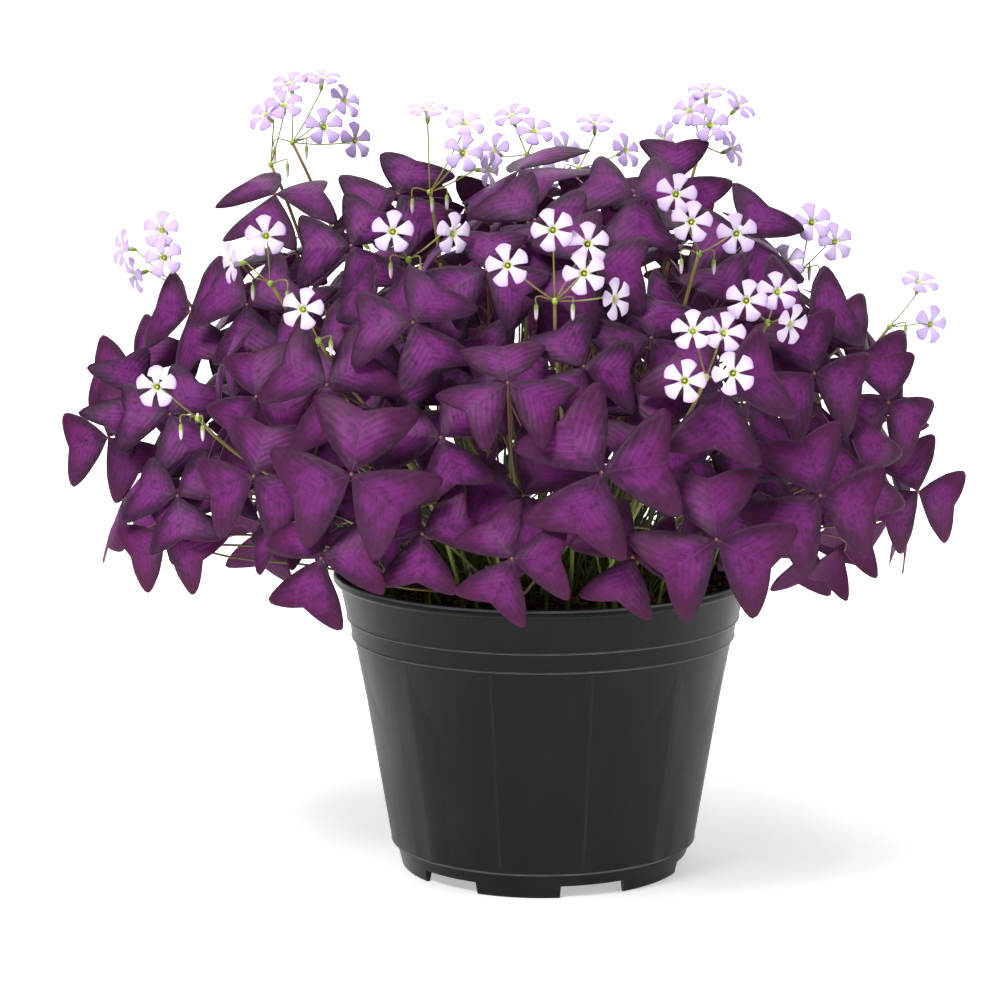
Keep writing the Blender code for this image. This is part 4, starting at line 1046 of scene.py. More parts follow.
class Skin:
    """Points, faces, material numbers and two values for each point."""

    def __init__(self):
        self.verts = []
        self.faces = []
        self.slots = []
        self.places = []
        self.owns = []

    def point(self, co, place, own):
        self.verts.append(co)
        self.places.append(place)
        self.owns.append(own)
        return len(self.verts) - 1

    def face(self, corners, slot):
        self.faces.append(corners)
        self.slots.append(slot)


def new_piece(name, verts, faces, materials, replaced=None):
    """A mesh whose faces all look outwards, as a piece that may stand for a solid."""
    mesh = bpy.data.meshes.new(name)
    mesh.from_pydata([tuple(v) for v in verts], [], faces)
    for material in materials:
        mesh.materials.append(material)
    shape = bmesh.new()
    shape.from_mesh(mesh)
    bmesh.ops.recalc_face_normals(shape, faces=shape.faces)
    shape.to_mesh(mesh)
    shape.free()
    item = bpy.data.objects.new(name, mesh)
    bpy.context.scene.collection.objects.link(item)
    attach(item, "root")
    if replaced:
        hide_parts(replaced)
    return item


def place_skin(skin, name, materials, replaced=None):
    """A skin as a smooth piece that keeps its two hidden values at each point."""
    item = new_piece(name, skin.verts, skin.faces, materials, replaced)
    item.data.polygons.foreach_set("material_index", skin.slots)
    for title, values in (("place", skin.places), ("own", skin.owns)):
        layer = item.data.attributes.new(title, "FLOAT_VECTOR", "POINT")
        layer.data.foreach_set("vector", [c for value in values for c in value])
    item.data.shade_smooth()
    return item


print("skins ready")

# %% [markdown]
# Three ways to fill a skin cover every living form here: a thin sheet for a blade or a
# petal, a round stalk along a path, and a small turned body for a bead, a funnel or a
# bulb. Solidify and Skin modifiers could do the first two, but they forget where each
# point lies, and the paints need that.

# %% Sheets, stalks and turned bodies


def thin_sheet(skin, grid, places, thickness, own, slot, rim_slot):
    """A grid of points as a thin closed sheet, alike on both faces."""
    rows, columns = len(grid), len(grid[0])
    sides = []
    for sign in (1, -1):
        numbers = []
        for i in range(rows):
            line = []
            for j in range(columns):
                along = grid[min(i + 1, rows - 1)][j] - grid[max(i - 1, 0)][j]
                across = grid[i][min(j + 1, columns - 1)] - grid[i][max(j - 1, 0)]
                lift = across.cross(along).normalized() * (thickness / 2 * sign)
                x, y, z = places[i][j]
                line.append(skin.point(grid[i][j] + lift, (x, y, z), (own[0], own[1], (1 - sign) / 2)))
            numbers.append(line)
        sides.append(numbers)
        for i in range(rows - 1):
            for j in range(columns - 1):
                corners = (numbers[i][j], numbers[i][j + 1], numbers[i + 1][j + 1], numbers[i + 1][j])
                skin.face(corners if sign > 0 else corners[::-1], slot)
    border = [(0, j) for j in range(columns)]
    border += [(i, columns - 1) for i in range(1, rows)]
    border += [(rows - 1, j) for j in range(columns - 2, -1, -1)]
    border += [(i, 0) for i in range(rows - 2, 0, -1)]
    for (a, b), (c, d) in zip(border, border[1:] + border[:1]):
        skin.face((sides[0][a][b], sides[1][a][b], sides[1][c][d], sides[0][c][d]), rim_slot)


def round_stalk(skin, path, radii, sides, own, slot, first_share=0.0, last_share=1.0):
    """A round stalk along a path, with how far along it each point lies."""
    verts = []
    faces = []
    ring = polygon(path[0], (path[1] - path[0]).normalized(), radii[0], sides, verts)
    fan(ring, verts, faces)
    ring = sweep(path, radii, ring, verts, faces)
    fan(ring, verts, faces)
    start = len(skin.verts)
    steps = len(path) - 1
    for i, co in enumerate(verts):
        share = first_share + (last_share - first_share) * (i // sides) / steps
        skin.point(co, (share, 0, 0), own)
    for face in faces:
        skin.face(tuple(start + i for i in face), slot)


def turned_body(skin, centre, axis, profile, sides, own, slot, first=None):
    """A closed turned form: radius and height pairs, pointed at both ends."""
    verts = []
    rings = []
    for radius, height in profile[1:-1]:
        rings.append(polygon(centre + axis * height, axis, radius, sides, verts, first))
    start = len(skin.verts)
    span = len(profile) - 1
    for i, co in enumerate(verts):
        skin.point(co, ((i // sides + 1) / span, 0, 0), own)
    low = skin.point(centre + axis * profile[0][1], (0, 0, 0), own)
    high = skin.point(centre + axis * profile[-1][1], (1, 0, 0), own)
    for i in range(sides):
        j = (i + 1) % sides
        skin.face((low, start + rings[0][i], start + rings[0][j]), slot)
        skin.face((high, start + rings[-1][j], start + rings[-1][i]), slot)
        for a, b in zip(rings, rings[1:]):
            skin.face((start + a[i], start + b[i], start + b[j], start + a[j]), slot)


def smooth_line(points, count):
    """Evenly stepped points on a smooth line through the given ones."""
    spots = [Vector((*p, 0)) for p in points]
    lengths = [0.0]
    for a, b in zip(spots, spots[1:]):
        lengths.append(lengths[-1] + (b - a).length)
    line = []
    for step in range(count + 1):
        reach = lengths[-1] * step / count
        k = min(max(i for i, value in enumerate(lengths) if value <= reach + 1e-9), len(spots) - 2)
        t = (reach - lengths[k]) / (lengths[k + 1] - lengths[k])
        before = spots[max(k - 1, 0)]
        after = spots[min(k + 2, len(spots) - 1)]
        a, b = spots[k], spots[k + 1]
        m0, m1 = (b - before) / 2, (after - a) / 2
        line.append(a * (2 * t ** 3 - 3 * t * t + 1) + m0 * (t ** 3 - 2 * t * t + t)
                    + b * (3 * t * t - 2 * t ** 3) + m1 * (t ** 3 - t * t))
    return line


def tapered(first, last, count):
    """Evenly changing radii from one end of a stalk to the other."""
    return [first + (last - first) * i / (count - 1) for i in range(count)]


print("a taper of three:", tapered(1, 2, 3))

# %% [markdown]
# A shamrock leaflet is a blunt triangle: narrow at the hub, widest near its end, and
# notched in the middle there. One half is drawn by two smooth lines, the long side and
# the end. Rays from the hub fill the space between, and the other half mirrors them.

# %% Leaflet outline
SIDE_LINE = ((0, 0), (0.100, 0.116), (0.239, 0.263), (0.427, 0.429), (0.596, 0.536),
             (0.716, 0.595), (0.79, 0.605))
END_LINE = ((0.725, 0), (0.752, 0.08), (0.797, 0.215), (0.828, 0.37), (0.838, 0.49),
            (0.826, 0.565), (0.79, 0.605))
HALF_COLUMNS = (0.0, 0.035, 0.12, 0.26, 0.42, 0.58, 0.74, 0.88, 1.0)
LEAF_ROWS = 15
FIRST_ROW = 0.035
LEAF_THICKNESS = 0.35 * MM
CREASE = 0.010
OUTLINE_STEPS = 60


def leaflet_shares(half_columns, row_count):
    """Where each point of a leaflet lies: shares of its length, for every ray and row."""
    side = smooth_line(SIDE_LINE, OUTLINE_STEPS)
    end = smooth_line(END_LINE, OUTLINE_STEPS)
    columns = [-a for a in reversed(half_columns[1:])] + list(half_columns)
    rows = []
    for i in range(row_count + 1):
        r = FIRST_ROW + (1 - FIRST_ROW) * (i / row_count) ** 0.9
        line = []
        for a in columns:
            spot = end[round(abs(a) * OUTLINE_STEPS)] * r
            spot = spot + (side[round(r * OUTLINE_STEPS)] - end[OUTLINE_STEPS] * r) * abs(a) ** 2
            line.append((spot.x, math.copysign(spot.y, a) if a else 0.0, abs(a), r))
        rows.append(line)
    return rows


LEAFLET = leaflet_shares(HALF_COLUMNS, LEAF_ROWS)
print("leaflet points:", len(LEAFLET) * len(LEAFLET[0]))

# %% [markdown]
# The blade bends as its solid does: it droops from the hub, arches along its midrib and
# folds down on both sides of it. On top of that come what only a fine mesh can show: each
# half swells a little between midrib and edge, and the whole leaflet waves softly.

# %% Leaf blades
LEAF_SLOT, EDGE_SLOT, STALK_SLOT, CROWN_SLOT = range(4)
SWELL = 0.020
WAVE_HEIGHT = 0.016
WAVE_SCALE = 3.1
LEAF_TONE_SEED = 23
BACKLIGHT_FROM = 0.72
LOW_FROM = 0.24
LOW_SPAN = 0.12


def fine_blade_point(leaf, k, x, y, a, r):
    crease = math.sqrt(y * y + CREASE * CREASE) - CREASE
    fall = leaf.droop[k] * x + leaf.arch[k] * x * x + leaf.fold[k] * crease
    swell = SWELL * math.sin(math.pi * a) * min(1, 2 * r)
    seed = Vector((x * WAVE_SCALE, y * WAVE_SCALE, leaf.number * 7.3 + k * 2.9))
    wave = WAVE_HEIGHT * noise.noise(seed) * min(1, 2.5 * r) * 2
    rise = swell + wave - fall
    return leaf.hub + (leaf.along[k] * x + leaf.side[k] * y + leaf.out * rise) * leaf.length


def add_blade(skin, leaf, leaflet):
    """Three leaflets on one hub."""
    for k in range(3):
        grid = []
        places = []
        for row in leaflet:
            grid.append([fine_blade_point(leaf, k, *spot) for spot in row])
            places.append([(x, y, a) for x, y, a, r in row])
        own = (leaf.tone[k], leaf.redness)
        thin_sheet(skin, grid, places, LEAF_THICKNESS, own, LEAF_SLOT, EDGE_SLOT)


def give_tones(leaves):
    """Each leaflet's own tone, and the painted backlight of its leaf: the outer and lower ones are painted
    redder, for light shining through them.
    """
    tones = random.Random(LEAF_TONE_SEED)
    for leaf in leaves:
        leaf.tone = [tones.uniform(0, 1) for _ in range(3)]
        away = (leaf.hub.xy - CANOPY_CENTRE.xy).length / CANOPY_AXES.x
        low = max(0.0, (LOW_FROM - leaf.hub.z) / LOW_SPAN)
        far = max(0, away - BACKLIGHT_FROM) / (1 - BACKLIGHT_FROM)
        # Painted light: outer and lower leaves are painted redder, standing in for light shining through
        # them.
        leaf.redness = min(1.0, 0.75 * far + 0.25 * low + tones.uniform(-0.1, 0.2))


print("thickness of a fine blade, in mm:", LEAF_THICKNESS / MM)

# %% [markdown]
# A whole leaf has a bead where its leaflets meet and a stalk that thickens just below
# it. Each group of leaves shares a crown, the top of a bulb, in the soil.

# %% Whole leaves
HUB_BEAD = ((0, -1.1), (0.75, -0.8), (1.05, -0.1), (0.8, 0.45), (0, 0.7))
PETIOLE_FINE_SIDES = 8
PETIOLE_FOOT_RADIUS = 0.8 * MM
PETIOLE_TOP_RADIUS = 0.5 * MM
PETIOLE_DEPTH = 1 * MM
HUB_SEAT = 0.6 * MM
CROWN_PROFILE = ((0, -3), (2.4, -2.5), (2.8, 0), (2.7, 2), (2.2, 3.6), (1.3, 4.4), (0, 4.5))
CROWN_SIDES = 10


def in_mm(profile):
    return [(radius * MM, height * MM) for radius, height in profile]


def add_leaf(skin, leaf, leaflet, sides):
    """A whole leaf: blade, the bead at its hub, and its petiole."""
    add_blade(skin, leaf, leaflet)
    turned_body(skin, leaf.hub, leaf.out, in_mm(HUB_BEAD), sides, (leaf.tone[0], 1, 0), STALK_SLOT)
    path = [leaf.root - Vector((0, 0, PETIOLE_DEPTH))] + bezier(leaf.route, SMOOTH_STEPS)[::-1]
    path.append(leaf.hub - leaf.out * HUB_SEAT)
    radii = tapered(PETIOLE_FOOT_RADIUS, PETIOLE_TOP_RADIUS, len(path))
    radii[-2:] = [PETIOLE_TOP_RADIUS * 1.3, PETIOLE_TOP_RADIUS * 1.5]
    round_stalk(skin, path, radii, sides, (leaf.tone[1], 0, 0), STALK_SLOT)


def dress_tuft(name, place, members, materials):
    """The finer form of one tuft: its leaves and the crown at their foot."""
    skin = Skin()
    for leaf in members:
        add_leaf(skin, leaf, LEAFLET, PETIOLE_FINE_SIDES)
    turned_body(skin, place, Vector((0, 0, 1)), in_mm(CROWN_PROFILE), CROWN_SIDES, (0.5, 0, 0), CROWN_SLOT)
    return place_skin(skin, name + "_leaves", materials, name)


print("sides of a crown:", CROWN_SIDES)

# %% [markdown]
# The leaf is living leaf with a satin skin: thin, moist tissue, grown and not made, so
# nothing on it is even. Its pigment sits mostly at the rim, so the middle of every half
# glows violet while the rest is a dark plum, and the waxy skin gives a weak, wide gloss.
# Side veins leave the midrib about every 3.6 mm. The pattern reads the place value of
# the skin, where one unit is a leaflet of about 40 mm, so it follows each leaflet. The
# finest streaks are 0.3 mm apart on the real leaf. They wouldn't show, so they are drawn
# more than twice as coarse. This cell works out those patterns.

# %% Patterns of the leaf
LEAFLET_MM = 40
VEIN_SPACING_MM = 3.64
VEIN_SLANT = 0.85
VEIN_CURVE = 0.45
VEIN_WANDER = 0.05
CLOUD_MM = 10
PATCH_MM = 4.45
STREAK_WIDTH_MM = 0.735
STREAK_LENGTH_MM = 5
RIB_HALF_WIDTH_MM = 0.48
CLOUD_SHIFT = 9.0
STREAK_SHIFT = 14.4


def leaf_patterns(tree, x, y, own_tone):
    """Veins, streaks across them, and blotches, each shifted by the leaflet's own tone."""
    aside = add_node(tree, "Math", y, operation="ABSOLUTE")
    shift = add_node(tree, "Math", own_tone, CLOUD_SHIFT, operation="MULTIPLY")
    moved = add_node(tree, "Math", x, shift, operation="ADD")
    soft_place = add_node(tree, "CombineXYZ", moved, y, shift)
    cloud = add_node(tree, "TexNoise", soft_place, named={"Scale": LEAFLET_MM / CLOUD_MM, "Detail": 3})
    patch = add_node(tree, "TexNoise", soft_place,
                     named={"Scale": LEAFLET_MM / PATCH_MM, "Detail": 4, "Roughness": 0.65})
    slanted = add_node(tree, "Math", aside, -VEIN_SLANT, x, operation="MULTIPLY_ADD")
    squared = add_node(tree, "Math", aside, aside, operation="MULTIPLY")
    curved = add_node(tree, "Math", squared, VEIN_CURVE, slanted, operation="MULTIPLY_ADD")
    vein_line = add_node(tree, "Math", cloud, VEIN_WANDER, curved, operation="MULTIPLY_ADD")
    turns = math.tau * LEAFLET_MM / VEIN_SPACING_MM
    phase = add_node(tree, "Math", vein_line, turns, operation="MULTIPLY")
    wave = add_node(tree, "Math", phase, operation="SINE")
    ridges = add_node(tree, "Math", wave, 0.5, 0.5, operation="MULTIPLY_ADD")
    across = add_node(tree, "Math", vein_line, LEAFLET_MM / STREAK_WIDTH_MM, operation="MULTIPLY")
    along = add_node(tree, "Math", y, LEAFLET_MM / STREAK_LENGTH_MM, operation="MULTIPLY")
    own_shift = add_node(tree, "Math", own_tone, STREAK_SHIFT, operation="MULTIPLY")
    streak_place = add_node(tree, "CombineXYZ", across, along, own_shift)
    streaks = add_node(tree, "TexNoise", streak_place, named={"Scale": 1, "Detail": 4, "Roughness": 0.6})
    return aside, patch, ridges, streaks


print("veins on a leaflet:", round(LEAFLET_MM / VEIN_SPACING_MM))

# %% [markdown]
# The colour is laid on in coats, as glazes are: dark plum, a greyer plum in blotches, the
# violet of the middle, dark veins, painted red light shining through the outer and lower
# leaves, the paler midrib, and the warmer underside. Each coat has a share that says
# where it lies, made by soft steps.

# %% Leaf paint
FADE_IN = (0.10, 0.36)
FADE_OUT = (0.58, 0.80)
FADE_ASIDE = (0.45, 0.90)
RIB_EDGE = (0.002, RIB_HALF_WIDTH_MM / LEAFLET_MM)


def leaf_paint():
    material, tree, shader = new_material("satin_living_leaf_plum")
    place = add_node(tree, "Attribute", attribute_name="place", out="Vector")
    own = add_node(tree, "Attribute", attribute_name="own", out="Vector")
    x, y, a = add_node(tree, "SeparateXYZ", place, out=ALL)
    own_tone, own_backlight_red, is_under = add_node(tree, "SeparateXYZ", own, out=ALL)
    aside, patch, ridges, streaks = leaf_patterns(tree, x, y, own_tone)
    uneven = add_node(tree, "Math", patch, 1.1, operation="MULTIPLY")
    uneven = add_node(tree, "Math", streaks, 0.35, uneven, operation="MULTIPLY_ADD")
    shares = []
    for value, span, first, last in ((x, FADE_IN, 0, 1), (x, FADE_OUT, 1, 0), (a, FADE_ASIDE, 1, 0),
                                     (uneven, (0.36, 0.86), 0, 1), (patch, (0.42, 0.66), 0, 0.7),
                                     (ridges, (0.7, 1.0), 0, 0.2), (x, (0.3, 0.8), 0.15, 0.65),
                                     (aside, RIB_EDGE, 0.3, 0)):
        shares.append(add_node(tree, "MapRange", value, *span, first, last, interpolation_type="SMOOTHSTEP"))
    starts, ends, narrows, blotched, greyer, veined, backlight_along, ribbed = shares
    glow = starts
    for share in (ends, narrows, blotched):
        glow = add_node(tree, "Math", glow, share, operation="MULTIPLY", use_clamp=True)
    # Painted light: red for light shining through the outer and lower leaves, more towards the tips.
    redness = add_node(tree, "Math", own_backlight_red, backlight_along, operation="MULTIPLY", use_clamp=True)
    under = add_node(tree, "Math", is_under, 0.75, operation="MULTIPLY")
    colour = paint("2e102b")
    for share, code in ((own_tone, "3e1b3a"), (greyer, "482246"), (glow, "742773"), (veined, "1f0a20"),
                        (redness, "561644"), (ribbed, "6f3a6c"), (under, "5a1f4e")):
        colour = add_node(tree, "Mix", share, named={6: colour, 7: paint(code)}, out=2, data_type="RGBA")
    rough = add_node(tree, "Math", streaks, 0.2, 0.42, operation="MULTIPLY_ADD")
    half = add_node(tree, "Math", ridges, streaks, operation="ADD")
    height = add_node(tree, "Math", half, 0.5, operation="MULTIPLY")
    bump = add_node(tree, "Bump", named={"Height": height, "Strength": 0.5, "Distance": 0.35 * MM})
    fill(tree, shader, {"Base Color": colour, "Roughness": rough, "Normal": bump, "Specular IOR Level": 0.18,
                        "Sheen Weight": 0.05, "Sheen Roughness": 0.45, "Sheen Tint": paint("d9c2e6")})
    return material


print("leaf coats ready")

# %% [markdown]
# The other three finishes of a leaf. Its cut edge is thin enough for light to pass, so
# it looks paler and pinker. Its stalk is juicy living stem: green at the foot, brown and
# then pink towards the hub, with a wet gloss and streaks along it. The real streaks are
# a tenth of a millimetre wide, too fine to show, so they are drawn 1 mm wide. Its bulb
# wears dry brown scales, with no gloss and cracks about 2 mm apart.

# %% Edge, stalk and bulb paints
STALK_STREAK_WIDTH = 0.96 * MM
STALK_STREAK_LENGTH = 6.4 * MM
SCALE_CRACKS = 1.92 * MM
PETIOLE_COLOURS = ((0, "5c7627"), (0.3, "54602a"), (0.62, "63462a"), (0.9, "6f4038"), (1, "b58a80"))


def edge_paint():
    material, tree, shader = new_material("thin_leaf_edge_pale")
    own = add_node(tree, "Attribute", attribute_name="own", out="Vector")
    tone = add_node(tree, "SeparateXYZ", own)
    colour = add_node(tree, "ValToRGB", tone, stops=((0, "59304f"), (1, "76486c")))
    fill(tree, shader, {"Base Color": colour, "Roughness": 0.5})
    return material


def stalk_paint(name, stops):
    """A juicy stalk: its colour changes from foot to top, with faint lengthwise streaks."""
    material, tree, shader = new_material(name)
    place = add_node(tree, "Attribute", attribute_name="place", out="Vector")
    share = add_node(tree, "SeparateXYZ", place)
    where = add_node(tree, "TexCoord", out="Object")
    scale = (1 / STALK_STREAK_WIDTH, 1 / STALK_STREAK_WIDTH, 1 / STALK_STREAK_LENGTH)
    drawn = add_node(tree, "Mapping", where, named={"Scale": scale})
    streak = add_node(tree, "TexNoise", drawn, named={"Scale": 1, "Detail": 2})
    moved = add_node(tree, "Math", streak, 0.22, share, operation="MULTIPLY_ADD")
    level = add_node(tree, "Math", moved, 0.11, operation="SUBTRACT", use_clamp=True)
    colour = add_node(tree, "ValToRGB", level, stops=stops)
    rough = add_node(tree, "MapRange", streak, 0, 1, 0.35, 0.55)
    fill(tree, shader, {"Base Color": colour, "Roughness": rough})
    return material


def crown_paint():
    material, tree, shader = new_material("dry_brown_bulb_scale")
    where = add_node(tree, "TexCoord", out="Object")
    cracks = add_node(tree, "TexNoise", where, named={"Scale": 1 / SCALE_CRACKS, "Detail": 3})
    colour = add_node(tree, "ValToRGB", cracks, stops=((0.3, "3a2317"), (0.7, "7a5233")))
    bump = add_node(tree, "Bump", named={"Height": cracks, "Strength": 0.5, "Distance": 0.4 * MM})
    fill(tree, shader, {"Base Color": colour, "Roughness": 0.75, "Normal": bump})
    return material


leaf_materials = [leaf_paint(), edge_paint(), stalk_paint("juicy_leaf_stalk", PETIOLE_COLOURS), crown_paint()]
print("leaf materials:", [m.name for m in leaf_materials])

# %% [markdown]
# Now every tuft gets its finer skin. It stands in for its solid, which stays hidden.

# %% Dress the tufts
give_tones([leaf for place, members in tufts for leaf in members])
for i, (place, members) in enumerate(tufts):
    dress_tuft(f"leaf_tuft_{i + 1:02d}", place, members, leaf_materials)
print("tufts dressed:", len(tufts))

# %% [markdown]
# Under the outer leaves a real plant carries many smaller ones, and hardly any light
# comes through. Instances on the surface would cross each other, so sight lines are sent
# through the dome from all round. Wherever one passes without meeting a leaf, a smaller
# leaf is tried there: inside the outer ones on the near side, or among them on the far
# side, facing away.

# %% Sight lines through the dome
INNER_SPACING = 10 * MM
INNER_HALF_WIDTH = 190 * MM
FAR_OFF = 2.0


def canopy_share(spot):
    """0 at the canopy's centre, 1 on its surface."""
    return Vector([(spot[i] - CANOPY_CENTRE[i]) / CANOPY_AXES[i] for i in range(3)]).length


def line_is_open(tree, spot, out):
    return not tree.ray_cast(spot + out, -out, FAR_OFF)[0]


def open_lines(bearing, rise, growth):
    """Lines through the dome that meet no leaf, as points on the plane through its centre."""
    right, up, out = facing_axes(bearing, rise)
    count = round(INNER_HALF_WIDTH / INNER_SPACING)
    spots = []
    for i in range(-count, count + 1):
        for j in range(-count, count + 1):
            spot = CANOPY_CENTRE + right * (i * INNER_SPACING) + up * (j * INNER_SPACING)
            if line_is_open(growth.solid, spot, out):
                spots.append(spot)
    return spots, out


print("sight lines for each view:", (2 * round(INNER_HALF_WIDTH / INNER_SPACING) + 1) ** 2)

# %% [markdown]
# A leaf that closes a line may not hang below the rim in front, nor touch what is
# already there. It gets a stalk of its own, bent down to the nearest crown. In the last
# passes from the front, the leaves may lie among the stalks.

# %% Inner leaves
INNER_VIEWS = ((0, 9.7), (-50, 12), (50, 12), (180, 12), (110, 12), (250, 12), (20, 70), (200, 60), (90, 40),
               (270, 40), (180, 40), (0, 9.7), (0, 9.7), (0, 9.7))
VIEWS_AMONG_STALKS = 2
INNER_SEED = 31
INNER_DEPTHS = (-0.19, 0.17)
NEAR_SHELL = 0.86
FAR_SHELL = 0.97
FRONT_LOWEST = 204 * MM
BACK_LOWEST = 154 * MM
BACK_START = 60 * MM
INNER_LENGTHS = (22, 36)
INNER_TURN = 35
INNER_TILTS = (5, 40)
STEEPEST_TILT = 80
INNER_SLIP = (0.2, 0.5)
INNER_TRIES = 24
INNER_ROUTE_TRIES = 40
RIM_TOP_CLEAR = 158 * MM
RIM_SIDE_CLEAR = 116 * MM
FIRST_INNER_NUMBER = 200


def try_inner_leaf(spot, out, bearing, rise, picks, kept_clear):
    """A small leaf that closes a line through the dome, or nothing if no place is clear."""
    for attempt in range(INNER_TRIES):
        along = picks.uniform(*INNER_DEPTHS)
        hub = spot + out * along
        shell, about = (NEAR_SHELL, 0) if along > 0 else (FAR_SHELL, 180)
        lowest = BACK_LOWEST if hub.y > BACK_START else FRONT_LOWEST
        if canopy_share(hub) > shell or hub.z < lowest:
            continue
        turn = bearing + about + picks.uniform(-INNER_TURN, INNER_TURN)
        tilt = min(STEEPEST_TILT, picks.uniform(*INNER_TILTS) + rise * (0 if about else 1))
        leaf = make_leaf(hub, turn, tilt, picks.uniform(0, 120), picks.uniform(*INNER_LENGTHS) * MM)
        leaf.hub = hub - leaf.along[0] * (leaf.length * picks.uniform(*INNER_SLIP))
        verts, faces, ring = blade_skin(leaf, BLADE_THICKNESS + BLADE_CLEARANCE, FULL_OUTLINE)
        if any(v.z < RIM_TOP_CLEAR and v.xy.length < RIM_SIDE_CLEAR for v in verts):
            continue
        tree = BVHTree.FromPolygons(verts, faces)
        if not line_is_open(tree, spot, out) and not tree.overlap(kept_clear):
            return leaf, verts, faces
    return None


def root_inner_leaf(made, number, growth, crowns):
    """Bend the new leaf's stalk down to a crown and add both to what has grown."""
    leaf, verts, faces = made
    leaf.root = min(crowns, key=lambda place: (place.xy - leaf.hub.xy * ROOT_PULL).length)
    leaf.number = FIRST_INNER_NUMBER + number
    owner = ("inner", leaf.number)
    start = leaf.hub - leaf.out * PETIOLE_START
    found = growth.find_route(start, -leaf.out, leaf.root + PETIOLE_FOOT, PETIOLE_STEPS, owner, 0,
                              INNER_ROUTE_TRIES)
    leaf.route = found[1]
    growth.skins.append((owner, verts, faces))
    growth.add_stem(leaf.route, PETIOLE_STEPS, owner)
    return leaf


def grow_inner(growth, crowns):
    """Fill the gaps view by view; each new leaf is in the way of the next."""
    picks = random.Random(INNER_SEED)
    grown = []
    for number, (bearing, rise) in enumerate(INNER_VIEWS):
        spots, out = open_lines(bearing, rise, growth)
        among_stalks = number >= len(INNER_VIEWS) - VIEWS_AMONG_STALKS
        picks.shuffle(spots)
        for spot in spots:
            if not line_is_open(growth.solid, spot, out):
                continue
            kept_clear = growth.solid if among_stalks else growth.everything
            made = try_inner_leaf(spot, out, bearing, rise, picks, kept_clear)
            if made:
                grown.append(root_inner_leaf(made, len(grown), growth, crowns))
        print("view", bearing, rise, "open lines", len(spots), "inner leaves so far", len(grown))
    return grown


inner = grow_inner(growth, [place for place, members in tufts])

# %% [markdown]
# The inner leaves are all one piece with a coarser mesh, because little of each shows.

# %% Dress the inner leaves
INNER_COLUMNS = (0.0, 0.08, 0.35, 0.65, 0.88, 1.0)
INNER_ROWS = 8
INNER_STALK_SIDES = 5
INNER_LEAFLET = leaflet_shares(INNER_COLUMNS, INNER_ROWS)
give_tones(inner)
inner_skin = Skin()
for leaf in inner:
    # No painted backlight on the inner leaves.
    leaf.redness = 0.0
    add_leaf(inner_skin, leaf, INNER_LEAFLET, INNER_STALK_SIDES)
inner_item = place_skin(inner_skin, "inner_leaves", leaf_materials)
print("inner leaves:", len(inner), "faces:", len(inner_item.data.polygons))

# %% [markdown]
# A flower is 20 mm across: five blunt petals that spread from a slender funnel 7.5 mm
# long, on a small green calyx. Each petal is narrow at the throat, widest near its end
# and blunt, and curls back a little at its tip. The petals could be flat cards with a
# picture, but a real sheet catches the light, so each is a bent grid given a thickness.

# %% Petals
PETAL_SLOT, THROAT_SLOT, GREEN_SLOT, SCAPE_SLOT, BUD_SLOT = range(5)
PETAL_WIDTHS = ((0.0, 1.3), (0.25, 1.9), (0.5, 2.75), (0.7, 3.45), (0.85, 3.8), (0.94, 3.55), (1.0, 2.5))
PETAL_ROWS = 9
PETAL_COLUMNS = 7
PETAL_STEPS = [i / (PETAL_ROWS - 1) for i in range(PETAL_ROWS)]
SIDE_STEPS = [2 * j / (PETAL_COLUMNS - 1) - 1 for j in range(PETAL_COLUMNS)]
PETAL_PLACES = [[(s, t, 0) for t in SIDE_STEPS] for s in PETAL_STEPS]
FINE_PETAL = 0.22 * MM
PETAL_FOOT_RADIUS = 2.1 * MM
CORNER_CUT = 0.9 * MM
FOOT_RISE = -0.5 * MM
PETAL_RISE = 1.5 * MM
FOOT_CROWN = 0.35 * MM
SIDE_FALL = 0.45 * MM


def petal_half_width(s):
    for (a, wide_a), (b, wide_b) in zip(PETAL_WIDTHS, PETAL_WIDTHS[1:]):
        if s <= b:
            t = (s - a) / (b - a)
            return (wide_a + (wide_b - wide_a) * t) * MM
    return PETAL_WIDTHS[-1][1] * MM


def petal_point(flower, spoke, across, s, t):
    """A point on a petal, s along it from foot to tip and t across it from side to side."""
    reach = PETAL_FOOT_RADIUS + (PETAL_REACH - PETAL_FOOT_RADIUS) * s - CORNER_CUT * t * t * s ** 3
    rise = FOOT_RISE + PETAL_RISE * math.sin(math.pi / 2 * min(1, s * 1.6)) - flower.curl * MM * s ** 3
    rise += FOOT_CROWN * (1 - t * t) * (1 - s) - SIDE_FALL * t * t * s
    return flower.place + spoke * reach + across * (petal_half_width(s) * t) + flower.out * rise


def add_petals(skin, flower):
    for k in range(PETALS):
        angle = math.tau * k / PETALS
        spoke = flower.up * math.cos(angle) + flower.right * math.sin(angle)
        across = flower.up * -math.sin(angle) + flower.right * math.cos(angle)
        grid = [[petal_point(flower, spoke, across, s, t) for s, t, z in row] for row in PETAL_PLACES]
        own = (flower.tone, flower.curl / 2)
        thin_sheet(skin, grid, PETAL_PLACES, FINE_PETAL, own, PETAL_SLOT, PETAL_SLOT)


print("petal points:", PETAL_ROWS * PETAL_COLUMNS)

# %% [markdown]
# Funnel, column, calyx, bud and core are small turned bodies, so each is a profile of
# radius and height in millimetres, measured from the throat. The funnel is hollow, with
# a small green column in the middle. A stalk sags a little on its way to the core.

